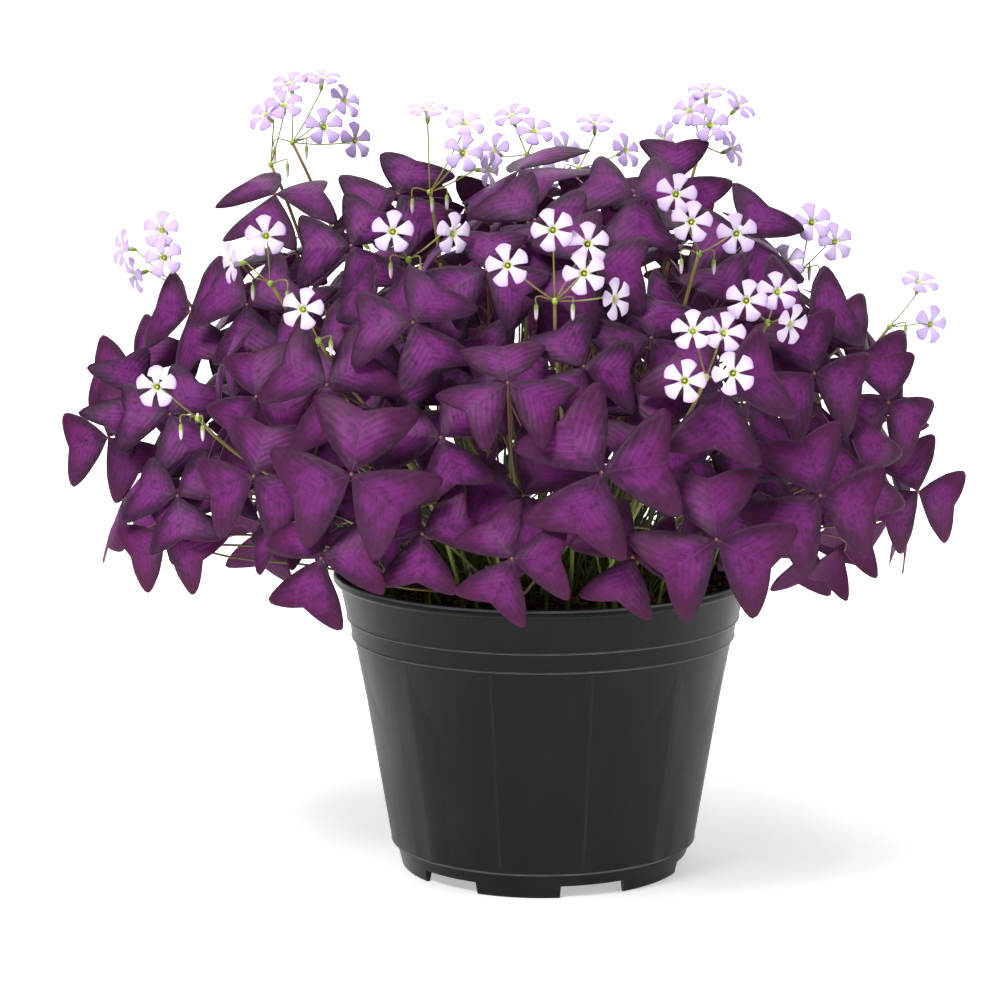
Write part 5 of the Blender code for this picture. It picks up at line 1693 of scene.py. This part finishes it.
# %% Funnel, calyx and buds
FUNNEL_PROFILE = ((0, -7.4), (0.75, -7.2), (0.95, -6.2), (1.25, -4.6), (1.7, -2.4), (2.35, -0.35),
                  (2.15, -0.25), (1.45, -2.2), (0.9, -4.0), (0, -4.6))
COLUMN_PROFILE = ((0, -4.2), (0.5, -3.6), (0.55, -2.2), (0.75, -1.4), (0.45, -0.8), (0, -0.6))
CALYX_PROFILE = ((0, -8.4), (0.8, -8.0), (1.15, -7.0), (1.3, -5.9), (1.35, -5.0), (1.2, -4.4), (0, -4.3))
BUD_PROFILE = ((0, 0), (0.7, -0.3), (1.0, -1.4), (1.05, -3.0), (0.95, -4.6), (0.8, -6.2), (0.45, -7.4),
               (0, -8.0))
CORE_PROFILE = ((0, -2.0), (1.0, -1.5), (1.5, -0.4), (1.55, 0.4), (1.1, 1.2), (0, 1.6))
FLOWER_BODIES = ((FUNNEL_PROFILE, 15, THROAT_SLOT), (COLUMN_PROFILE, 8, GREEN_SLOT),
                 (CALYX_PROFILE, 10, GREEN_SLOT))
PEDICEL_FINE_RADIUS = 0.42 * MM
PEDICEL_STEPS = 6
PEDICEL_SAG = 0.03
PEDICEL_FOOT = 8 * MM
PEDICEL_SIDES = 6
MIDDLE_TONE = (0.5, 0, 0)


def add_flower(skin, flower, core):
    own = (flower.tone, 0, 0)
    add_petals(skin, flower)
    for profile, sides, slot in FLOWER_BODIES:
        turned_body(skin, flower.place, flower.out, in_mm(profile), sides, own, slot, flower.up)
    foot = flower.place - flower.out * PEDICEL_FOOT
    sag = Vector((0, 0, (foot - core).length * PEDICEL_SAG))
    path = []
    for i in range(PEDICEL_STEPS + 1):
        path.append(core.lerp(foot, i / PEDICEL_STEPS) - sag * math.sin(math.pi * i / PEDICEL_STEPS))
    round_stalk(skin, path, [PEDICEL_FINE_RADIUS] * len(path), PEDICEL_SIDES, own, SCAPE_SLOT, 0.55, 0.8)


def add_bud(skin, core, bud):
    first, bend, neck, tip = bud_path(core, bud)
    path = bezier((first, first.lerp(bend, 0.9), bend + (bend - first) * 0.25, neck), 9)
    radii = [PEDICEL_FINE_RADIUS * 0.9] * len(path)
    round_stalk(skin, path, radii, PEDICEL_SIDES, MIDDLE_TONE, SCAPE_SLOT, 0.5, 0.75)
    turned_body(skin, neck, (neck - tip).normalized(), in_mm(BUD_PROFILE), 8, MIDDLE_TONE, BUD_SLOT)


print("flower bodies:", len(FLOWER_BODIES))

# %% [markdown]
# One umbel is one piece, as its solid is: the tapering scape, the core at its top, the
# flowers on their stalks, and the buds.

# %% Umbel
SCAPE_FOOT_RADIUS = 1.15 * MM
SCAPE_TOP_RADIUS = 0.85 * MM
SCAPE_SIDES = 8
SCAPE_DEPTH = 3 * MM


def dress_umbel(umbel, materials):
    """The finer form of one umbel."""
    skin = Skin()
    up = Vector((0, 0, 1))
    for flower in umbel.flowers:
        add_flower(skin, flower, umbel.core)
    for bud in umbel.buds:
        add_bud(skin, umbel.core, bud)
    turned_body(skin, umbel.core, up, in_mm(CORE_PROFILE), 10, MIDDLE_TONE, GREEN_SLOT)
    path = [umbel.root - up * SCAPE_DEPTH] + bezier(umbel.route, SMOOTH_STEPS)[::-1]
    radii = tapered(SCAPE_FOOT_RADIUS, SCAPE_TOP_RADIUS, len(path))
    round_stalk(skin, path, radii, SCAPE_SIDES, MIDDLE_TONE, SCAPE_SLOT, 0.0, 0.6)
    return place_skin(skin, umbel.name + "_flowers", materials, umbel.name)


print("umbel forms ready")

# %% [markdown]
# Petals are thin living tissue, grown in the bud: so thin that they glow, and matte, so
# they look softer than paper. They are nearly white with a lilac flush that deepens
# towards the throat and on the back, and fine veins run along them. The real veins are
# 0.2 mm apart, too fine to show, so they are drawn twice as wide.

# %% Petal paint
PETAL_VEIN_WIDTH_MM = 0.39
PETAL_VEIN_LENGTH_MM = 6.75
PETAL_LENGTH_MM = 8.1
PETAL_HALF_WIDTH_MM = 3.5
PETAL_SHIFT = 17.0
FRONT_LILACS = ((0, "efe6f5"), (0.25, "f3e9fa"), (0.6, "ecdcf8"), (1, "dcc2f0"))
REAR_LILACS = ((0, "d8cfe0"), (0.4, "cdb2ea"), (1, "c7a6e8"))


def petal_paint():
    material, tree, shader = new_material("thin_living_petal_lilac")
    place = add_node(tree, "Attribute", attribute_name="place", out="Vector")
    own = add_node(tree, "Attribute", attribute_name="own", out="Vector")
    s, t = add_node(tree, "SeparateXYZ", place, out=ALL)[:2]
    tone, curl, is_rear = add_node(tree, "SeparateXYZ", own, out=ALL)
    where = add_node(tree, "CombineXYZ", s, t, tone)
    scale = (PETAL_LENGTH_MM / PETAL_VEIN_LENGTH_MM, PETAL_HALF_WIDTH_MM / PETAL_VEIN_WIDTH_MM, PETAL_SHIFT)
    drawn = add_node(tree, "Mapping", where, named={"Scale": scale})
    veins = add_node(tree, "TexNoise", drawn, named={"Scale": 1, "Detail": 3})
    level = add_node(tree, "Math", veins, 0.35, s, operation="MULTIPLY_ADD")
    level = add_node(tree, "Math", level, 0.17, operation="SUBTRACT", use_clamp=True)
    front = add_node(tree, "ValToRGB", level, stops=FRONT_LILACS)
    rear = add_node(tree, "ValToRGB", level, stops=REAR_LILACS)
    # The lilac is partly each flower's own tone and partly painted light: flowers further back get more, for
    # light shining through them.
    flush_and_backlight = add_node(tree, "Math", tone, 0.55, operation="MULTIPLY")
    colour = front
    for share, coat in ((is_rear, rear), (flush_and_backlight, paint("b88fe0"))):
        colour = add_node(tree, "Mix", share, named={6: colour, 7: coat}, out=2, data_type="RGBA")
    rough = add_node(tree, "MapRange", veins, 0, 1, 0.45, 0.65)
    bump = add_node(tree, "Bump", named={"Height": veins, "Strength": 0.3, "Distance": 0.15 * MM})
    fill(tree, shader, {"Base Color": colour, "Roughness": rough, "Specular IOR Level": 0.25, "Normal": bump})
    return material


print("petal paint ready")

# %% [markdown]
# The rest of a flower is juicy living stem, as the leaf stalks are, so it takes the same
# paint with its own colours. The funnel goes from pale lilac at its mouth to
# yellow-green at its foot, the calyx, core and scape are soft green turning brown, and a
# closed bud blushes pink towards its tip. Flowers further back are more lilac, because
# light comes through them from behind.

# %% Dress the umbels
FLOWER_COLOURS = (
    ("funnel_pale_lilac", ((0, "a8bf45"), (0.3, "dcdcc0"), (0.5, "e6dcee"), (0.6, "ecdff6"), (0.8, "e4ea78"),
                           (1, "d2dc5a"))),
    ("soft_green_calyx", ((0, "7fa838"), (0.5, "9cc04a"), (1, "cdd86c"))),
    ("juicy_flower_stalk", ((0, "6f8c35"), (0.35, "7d7a3c"), (0.6, "8a7a42"), (0.8, "9aa052"),
                            (1, "a9b060"))),
    ("closed_bud", ((0, "7f9a3a"), (0.35, "a3b860"), (0.55, "ead9e4"), (0.8, "efd3e6"), (1, "cf86b0"))),
)
TONE_SEED = 41
LILAC_START = -0.12
LILAC_SPAN = 0.14
flower_materials = [petal_paint()] + [stalk_paint(name, stops) for name, stops in FLOWER_COLOURS]
petal_tones = random.Random(TONE_SEED)
for umbel in umbels:
    # Painted light: flowers further back get a higher tone, and so more lilac.
    behind = min(1.0, max(0.0, (umbel.core.y - LILAC_START) / LILAC_SPAN))
    for flower in umbel.flowers:
        flower.tone = 0.8 * behind + petal_tones.uniform(0, 0.35)
        flower.curl = petal_tones.uniform(0.3, 1.6)
    dress_umbel(umbel, flower_materials)
print("umbels dressed:", len(umbels))

# %% [markdown]
# The pot is a thin-walled nursery pot, injection moulded in black polypropylene. Its
# wall has twelve faint flat panels below two stepped bands, a rolled lip and a foot ring
# with notches for water. These are the solid's own sizes. A turned profile with eased
# corners is the plainest way to such a form, so its solid's is turned again with more
# steps. Points are radius and height.

# %% Pot profile
LIP_RADIUS = 107.7 * MM
LIP_DEPTH = 5 * MM
POT_WALL = 1.8 * MM
RIB_HEIGHTS = (131 * MM, 121 * MM)
RIB_RADII = (100.8 * MM, 98.4 * MM)
RIB_STEP = 1.1 * MM
BODY_FOOT_HEIGHT = 13.8 * MM
BODY_FOOT_RADIUS = 79.5 * MM
FOOT_TOP_HEIGHT = 12.3 * MM
FOOT_TOP_RADIUS = 76.2 * MM
FOOT_RADIUS = 73.5 * MM
FOOT_WALL = 2.4 * MM
FLOOR_UNDERSIDE = 7.5 * MM
FLOOR_TOP = 9.5 * MM
FLOOR_CURVE = 4 * MM
REST_DISC_RADIUS = 16 * MM
LIP_SHOULDER = 3 * MM


def eased(radius, height, steps):
    """Points beside a corner of the pot, each so many millimetres out and up from it."""
    return [(radius + out * MM, height + up * MM) for out, up in steps]


def pot_profile():
    (upper, lower), (rib, low_rib) = RIB_HEIGHTS, RIB_RADII
    lip_bottom = POT_HEIGHT - LIP_DEPTH
    inside = FOOT_RADIUS - FOOT_WALL
    step = -RIB_STEP / MM
    return [
        (0, 0),
        (REST_DISC_RADIUS, 0),
        *eased(0, FLOOR_UNDERSIDE, ((REST_DISC_RADIUS / MM + 2, 0), (inside / MM - 2, 0))),
        *eased(inside, 0, ((0, 0.4), (0.4, 0))),
        *eased(FOOT_RADIUS, 0, ((-0.6, 0), (0, 0.6))),
        *eased(FOOT_TOP_RADIUS, FOOT_TOP_HEIGHT, ((-0.1, -0.5), (0.3, 0))),
        *eased(BODY_FOOT_RADIUS, BODY_FOOT_HEIGHT, ((-0.5, -0.7), (0, 0))),
        *eased(low_rib, lower, ((step, -1.0), (0.2, -0.7), (0.4, -0.3), (0.1, 0.3), (0.15, 1.5))),
        *eased(rib, upper, ((step - 0.2, -2.4), (step, -1.0), (0.2, -0.7), (0.4, -0.3), (0.1, 0.3),
                            (0.2, 1.5))),
        *eased(LIP_RADIUS - LIP_SHOULDER, lip_bottom, ((-0.2, -0.6), (0.6, 0.1))),
        *eased(LIP_RADIUS, lip_bottom, ((-0.7, 0.5), (0, 1.4))),
        *eased(LIP_RADIUS, POT_HEIGHT, ((0, -1.5), (-0.4, -0.4), (-1.2, 0), (-1.9, -0.3), (-2.3, -1.2))),
        *eased(rib - POT_WALL, upper, ((0, -2),)),
        *eased(BODY_FOOT_RADIUS - POT_WALL, FLOOR_TOP, ((-0.8, 4), (-4, 0))),
        (0, FLOOR_TOP),
    ]


def turned_rings(profile, steps):
    """Points of a profile that starts and ends on the Z axis, turned round it, and faces."""
    verts = [(0, 0, profile[0][1]), (0, 0, profile[-1][1])]
    faces = []
    count = len(profile) - 2
    for s in range(steps):
        angle = math.tau * s / steps
        for radius, height in profile[1:-1]:
            verts.append((math.cos(angle) * radius, math.sin(angle) * radius, height))
        a, b = 2 + s * count, 2 + (s + 1) % steps * count
        faces += [(0, b, a), (1, a + count - 1, b + count - 1)]
        faces += [(a + i, b + i, b + i + 1, a + i + 1) for i in range(count - 1)]
    return verts, faces


print("points of the pot's profile:", len(pot_profile()))

# %% [markdown]
# The panels are pressed in by moving the outer wall inwards a little, most in the middle
# of each panel. Notches and drain holes are cut away with plain shapes, all in one
# Boolean step.

# %% Pot form
POT_STEPS = 216
PANELS = 12
PANEL_FLAT = 0.30
WALL_REACH = 0.5 * MM
NOTCH_COUNT = 6
NOTCH_SIZE = (16 * MM, 34 * MM, 13 * MM)
NOTCH_FIRST_BEARING = -70.0
DRAIN_COUNT = 4
DRAIN_SIZE = (10 * MM, 10 * MM, 14 * MM)
DRAIN_CIRCLE = 48 * MM
DRAIN_MIDDLE = 9 * MM
SHARP_FROM = 24


def press_panels(verts):
    """Move the outer wall between foot and bands inwards to make the flat panels."""
    half = math.pi / PANELS
    bottom, top = BODY_FOOT_HEIGHT, RIB_HEIGHTS[1] - RIB_STEP
    top_radius = RIB_RADII[1] - RIB_STEP
    for i, (x, y, z) in enumerate(verts):
        wall = BODY_FOOT_RADIUS + (top_radius - BODY_FOOT_RADIUS) * (z - bottom) / (top - bottom)
        if not bottom - 0.1 * MM < z < top + 0.2 * MM or abs(math.hypot(x, y) - wall) > WALL_REACH:
            continue
        angle = (math.atan2(y, x) + math.pi / 2 + half) % (2 * half) - half
        flat = math.cos(half) / math.cos(abs(angle))
        kept = 1 - PANEL_FLAT * (1 - flat)
        verts[i] = (x * kept, y * kept, z)


def cutter_ring(name, count, first, reach, height, size, round_shape):
    """Plain shapes to cut with, spread round the axis."""
    made = []
    for i in range(count):
        turn = math.radians(first + 360 / count * i)
        place = Vector((math.cos(turn) * reach, math.sin(turn) * reach, height))
        spot = Matrix.Translation(place) @ Matrix.Rotation(turn, 4, "Z") @ Matrix.Diagonal((*size, 1))
        shape = bmesh.new()
        if round_shape:
            bmesh.ops.create_cone(shape, cap_ends=True, segments=24, radius1=0.5, radius2=0.5, depth=1,
                                  matrix=spot)
        else:
            bmesh.ops.create_cube(shape, size=1, matrix=spot)
        mesh = bpy.data.meshes.new(name)
        shape.to_mesh(mesh)
        shape.free()
        made.append(bpy.data.objects.new(name, mesh))
    return made


def cut_away(item, cutters):
    """Cut the other shapes from the item in one step."""
    group = bpy.data.collections.new("cutters")
    bpy.context.scene.collection.children.link(group)
    for other in cutters:
        group.objects.link(other)
    step = item.modifiers.new("cut", "BOOLEAN")
    step.operation = "DIFFERENCE"
    step.solver = "MANIFOLD"
    step.operand_type = "COLLECTION"
    step.collection = group
    graph = bpy.context.evaluated_depsgraph_get()
    result = bpy.data.meshes.new_from_object(item.evaluated_get(graph))
    item.modifiers.clear()
    item.data = result
    for other in cutters:
        bpy.data.objects.remove(other, do_unlink=True)
    bpy.data.collections.remove(group)


def dress_pot(material):
    verts, faces = turned_rings(pot_profile(), POT_STEPS)
    press_panels(verts)
    pot = new_piece("nursery_pot", verts, faces, [material], "pot")
    ring = FOOT_RADIUS - FOOT_WALL / 2
    notches = cutter_ring("notch", NOTCH_COUNT, NOTCH_FIRST_BEARING, ring, 0, NOTCH_SIZE, False)
    first = 180 / DRAIN_COUNT
    drains = cutter_ring("drain", DRAIN_COUNT, first, DRAIN_CIRCLE, DRAIN_MIDDLE, DRAIN_SIZE, True)
    cut_away(pot, notches + drains)
    pot.data.materials.clear()
    pot.data.materials.append(material)
    pot.data.shade_smooth()
    pot.data.set_sharp_from_angle(angle=math.radians(SHARP_FROM))
    return pot


print("cuts in the pot:", NOTCH_COUNT + DRAIN_COUNT)

# %% [markdown]
# Black polypropylene as it leaves the mould: charcoal rather than black, satin, with
# soft upright streaks about 17 mm wide where the plastic flowed. Painted highlights show
# the steps, the foot and the lip as thin pale rings, and the panels' borders as faint
# pale lines. The mould's own grain is about 0.1 mm, far too fine to show, so it is
# drawn 1.1 mm wide and very shallow.

# %% Pot paint
MOULD_GRAIN = 1.11 * MM
FLOW_STREAK_WIDTH = 16.7 * MM
FLOW_STREAK_LENGTH = 208 * MM
DUST_CLOUD = 45.5 * MM
POLYPROPYLENE_IOR = 1.49
HIGHLIGHT_HALF_WIDTH = 0.55 * MM
PANEL_LINE = 1.75 * MM
PANEL_LINE_STRENGTH = 0.12
# Heights of the painted highlight rings: the two steps, the foot and the lip.
HIGHLIGHT_HEIGHTS = (RIB_HEIGHTS[0] - 0.3 * MM, RIB_HEIGHTS[1] - 0.3 * MM, BODY_FOOT_HEIGHT - 0.4 * MM,
                  POT_HEIGHT - 1 * MM)


def painted_highlight_places(tree, where):
    """A share for the painted highlights: pale rings at the steps, the foot and the lip, and faint lines at
    the panel borders.
    """
    x, y, z = add_node(tree, "SeparateXYZ", where, out=ALL)
    panel = add_node(tree, "Math", x, y, operation="ARCTAN2")
    panel = add_node(tree, "Math", panel, math.pi / PANELS, operation="ADD")
    panel = add_node(tree, "Math", panel, math.tau / PANELS, operation="FLOORED_MODULO")
    line = add_node(tree, "MapRange", panel, 0, PANEL_LINE / BODY_FOOT_RADIUS, PANEL_LINE_STRENGTH, 0)
    middle = (BODY_FOOT_HEIGHT + RIB_HEIGHTS[1]) / 2
    on_wall = add_node(tree, "Math", z, middle, middle - BODY_FOOT_HEIGHT - 2 * MM, operation="COMPARE")
    pale = add_node(tree, "Math", line, on_wall, operation="MULTIPLY")
    for level in HIGHLIGHT_HEIGHTS:
        ring = add_node(tree, "Math", z, level, HIGHLIGHT_HALF_WIDTH, operation="COMPARE")
        pale = add_node(tree, "Math", pale, ring, operation="MAXIMUM")
    return pale


def pot_paint():
    material, tree, shader = new_material("moulded_black_polypropylene")
    where = add_node(tree, "TexCoord", out="Object")
    squeeze = (1, 1, FLOW_STREAK_WIDTH / FLOW_STREAK_LENGTH)
    drawn = add_node(tree, "Mapping", where, named={"Scale": squeeze})
    streak = add_node(tree, "TexNoise", drawn,
                      named={"Scale": 1 / FLOW_STREAK_WIDTH, "Detail": 4, "Roughness": 0.6})
    cloud = add_node(tree, "TexNoise", where, named={"Scale": 1 / DUST_CLOUD, "Detail": 5})
    grain = add_node(tree, "TexNoise", where, named={"Scale": 1 / MOULD_GRAIN, "Detail": 2})
    both = add_node(tree, "Math", streak, 0.5, cloud, operation="MULTIPLY_ADD")
    black = add_node(tree, "ValToRGB", both, stops=((0.45, "070708"), (0.75, "0d0d0f"), (1, "161619")))
    # Painted highlights: pale rings on the steps, the foot and the lip, and faint pale lines at the panels'
    # borders.
    pale = add_node(tree, "Math", painted_highlight_places(tree, where), streak, operation="MULTIPLY")
    with_highlights = add_node(tree, "Mix", pale, named={6: black, 7: paint("6f6e74")}, out=2, data_type="RGBA")
    rough = add_node(tree, "MapRange", both, 0.4, 1.0, 0.28, 0.42)
    fine = add_node(tree, "Bump", named={"Height": grain, "Strength": 0.12, "Distance": 0.1 * MM})
    broad = add_node(tree, "Bump",
                     named={"Height": streak, "Strength": 0.10, "Distance": 0.6 * MM, "Normal": fine})
    fill(tree, shader, {"Base Color": with_highlights, "Roughness": rough, "IOR": POLYPROPYLENE_IOR,
                        "Specular IOR Level": 0.2, "Normal": broad})
    return material


pot = dress_pot(pot_paint())
print("pot faces:", len(pot.data.polygons))

# %% [markdown]
# The soil is moist peat mix with bark. Its body follows the pot's inside, and its top is
# an uneven disc of 26 rings. Several hundred loose crumbs lie on it, each a small lump
# with its points pushed about, so that the surface breaks up as real soil does: a bump
# in the material alone would leave its outline flat.

# %% Soil form
SOIL_FINE_HEIGHT = 142.6 * MM
SOIL_STEPS = 96
SOIL_TOP_ROWS = 26
SOIL_WALL_GAP = 0.5 * MM
SOIL_BUMPS = ((22 * MM, 1.6 * MM), (7 * MM, 1.0 * MM), (2.6 * MM, 0.6 * MM))
SOIL_SEED = 77
CRUMBS = 950
CRUMB_SPREAD = 98.5 * MM
CRUMB_SIZES = (0.9, 1.1, 1.4, 1.9, 2.6)
CRUMB_SINK = 0.25


def soil_edge(height):
    """How wide the pot is inside at a height, less a small gap."""
    foot = BODY_FOOT_RADIUS - POT_WALL
    rib = RIB_RADII[0] - POT_WALL
    low, high = FLOOR_TOP + FLOOR_CURVE, RIB_HEIGHTS[0] - 2 * MM
    if height <= high:
        return foot + (rib - foot) * (height - low) / (high - low) - SOIL_WALL_GAP
    rim = LIP_RADIUS - 2.2 * MM
    return rib + (rim - rib) * (height - high) / (POT_HEIGHT - high) - SOIL_WALL_GAP


def soil_height(x, y):
    spot = Vector((x, y, 0))
    return SOIL_FINE_HEIGHT + sum(noise.noise(spot / size) * rise for size, rise in SOIL_BUMPS)


def soil_body():
    """The soil's foot and wall, then rings over its top, as points and faces."""
    low, high = FLOOR_TOP + FLOOR_CURVE, RIB_HEIGHTS[0] - 3 * MM
    foot = FLOOR_TOP + 0.4 * MM
    profile = [(0, foot), (soil_edge(low) - 4 * MM, foot), (soil_edge(low) - 0.6 * MM, low + 0.4 * MM),
               (soil_edge(high) - 0.3 * MM, high)]
    edge = soil_edge(SOIL_FINE_HEIGHT - 1 * MM) - 0.2 * MM
    walls = len(profile) - 1
    profile += [(edge * (1 - row / SOIL_TOP_ROWS) ** 0.9, 1) for row in range(SOIL_TOP_ROWS)] + [(0, 1)]
    verts, faces = turned_rings(profile, SOIL_STEPS)
    for i, (x, y, z) in enumerate(verts):
        if i == 1 or i > 1 and (i - 2) % (walls + SOIL_TOP_ROWS) >= walls:
            verts[i] = (x, y, soil_height(x, y))
    return verts, faces


def add_crumb(verts, faces, place, size, lumps):
    """A small lump: a rounded ball of 42 points, each pushed in or out."""
    ball = bmesh.new()
    bmesh.ops.create_icosphere(ball, subdivisions=2, radius=1.0)
    stretch = Vector([lumps.uniform(0.7, 1.3) for _ in range(3)]) * size
    stretch.z *= 0.75
    start = len(verts)
    for vert in ball.verts:
        push = 1 + 0.35 * noise.noise(vert.co * 1.7 + place * 900)
        verts.append(place + Vector([vert.co[k] * stretch[k] * push for k in range(3)]))
    for face in ball.faces:
        faces.append(tuple(start + vert.index for vert in face.verts))
    ball.free()


def dress_soil(material):
    verts, faces = soil_body()
    lumps = random.Random(SOIL_SEED)
    for i in range(CRUMBS):
        radius = CRUMB_SPREAD * math.sqrt(lumps.uniform(0, 1))
        angle = lumps.uniform(0, math.tau)
        x, y = math.cos(angle) * radius, math.sin(angle) * radius
        size = lumps.choice(CRUMB_SIZES) * MM * lumps.uniform(0.8, 1.15)
        add_crumb(verts, faces, Vector((x, y, soil_height(x, y) + size * CRUMB_SINK)), size, lumps)
    return new_piece("potting_mix", verts, faces, [material], "soil")


print("height of the soil in the middle, in mm:", round(soil_height(0, 0) / MM, 1))

# %% [markdown]
# Moist peat and bark, milled and then watered: nearly black, without gloss, with lighter
# flecks of bark about 2.4 mm wide. Peat fibres are 0.3 mm thick, too fine to show, so
# they are drawn 1.4 mm wide.

# %% Soil paint
BARK_FLECK = 2.38 * MM
PEAT_FIBRE = 1.43 * MM


def soil_paint():
    material, tree, shader = new_material("moist_peat_and_bark_mix")
    where = add_node(tree, "TexCoord", out="Object")
    fleck = add_node(tree, "TexVoronoi", where, named={"Scale": 1 / BARK_FLECK}, out="Color")
    pick = add_node(tree, "SeparateColor", fleck)
    fibre = add_node(tree, "TexNoise", where, named={"Scale": 1 / PEAT_FIBRE, "Detail": 5, "Roughness": 0.7})
    mixed = add_node(tree, "Math", fibre, 0.45, pick, operation="MULTIPLY_ADD")
    colour = add_node(tree, "ValToRGB", mixed,
                      stops=((0.25, "0a0604"), (0.85, "1a110b"), (0.93, "332214"), (1, "6a4f2e")))
    bump = add_node(tree, "Bump", named={"Height": fibre, "Strength": 0.8, "Distance": 0.8 * MM})
    fill(tree, shader, {"Base Color": colour, "Roughness": 0.92, "Specular IOR Level": 0.2, "Normal": bump})
    return material


soil = dress_soil(soil_paint())
print("soil faces:", len(soil.data.polygons))

# %% [markdown]
# Between the old stalks stand a few young ones: bright green, short, leaning outwards,
# each with its new leaf still folded at the tip. They show in the gaps of the canopy.
# They are the same juicy stem as the old ones, only with more green in it.

# %% Young shoots
SHOOT_GROUPS = (((40, -62), 7, (24, 46)), ((-72, -46), 6, (26, 44)), ((-20, -70), 3, (20, 34)),
                ((66, 30), 4, (24, 40)), ((-50, 58), 4, (24, 40)))
SHOOT_COLOURS = ((0, "b9c96a"), (0.25, "7fa52f"), (0.8, "6f9428"), (1, "7d7a3c"))
FOLDED_COLOURS = ((0, "7d7a3c"), (0.35, "5a2a4c"), (1, "3f1838"))
FOLDED_PROFILE = ((0, -1.0), (0.6, -0.5), (1.15, 1.0), (1.3, 2.6), (0.9, 4.4), (0, 5.6))
SHOOT_SEED = 61
SHOOT_LIMIT = 92 * MM
SHOOT_DEPTH = 1.5 * MM
SHOOT_FOOT_RADIUS = 0.95 * MM
SHOOT_TOP_RADIUS = 0.55 * MM
SHOOT_STEPS = 10
SHOOT_SIDES = 7


def shoot_path(across, deep, low, high, grown):
    """A short stem that stands on the soil and leans outwards."""
    foot = Vector((across + grown.uniform(-17, 17), deep + grown.uniform(-12, 12), 0)) * MM
    if foot.length > SHOOT_LIMIT:
        foot *= SHOOT_LIMIT / foot.length
    foot.z = soil_height(foot.x, foot.y) - SHOOT_DEPTH
    lean = Vector((foot.x, foot.y, 0)).normalized() * grown.uniform(0.0, 0.35)
    lean += Vector((grown.uniform(-0.25, 0.25), grown.uniform(-0.25, 0.25), 0))
    rise = grown.uniform(low, high) * MM
    mid = foot + Vector((0, 0, rise * 0.55)) + lean * rise * 0.15
    tip = foot + Vector((0, 0, rise)) + lean * rise
    return bezier((foot, foot.lerp(mid, 0.6), mid, tip), SHOOT_STEPS)


def dress_shoots(materials):
    skin = Skin()
    grown = random.Random(SHOOT_SEED)
    radii = tapered(SHOOT_FOOT_RADIUS, SHOOT_TOP_RADIUS, SHOOT_STEPS + 1)
    for (across, deep), count, (low, high) in SHOOT_GROUPS:
        for i in range(count):
            path = shoot_path(across, deep, low, high, grown)
            round_stalk(skin, path, radii, SHOOT_SIDES, (grown.uniform(0, 1), 0, 0), 0)
            ahead = (path[-1] - path[-2]).normalized()
            turned_body(skin, path[-1], ahead, in_mm(FOLDED_PROFILE), SHOOT_SIDES, MIDDLE_TONE, 1)
    return place_skin(skin, "young_shoots", materials)


shoot_paint = stalk_paint("young_green_shoot", SHOOT_COLOURS)
dress_shoots([shoot_paint, stalk_paint("folded_new_leaf", FOLDED_COLOURS)])
print("shoots:", sum(count for place, count, reach in SHOOT_GROUPS))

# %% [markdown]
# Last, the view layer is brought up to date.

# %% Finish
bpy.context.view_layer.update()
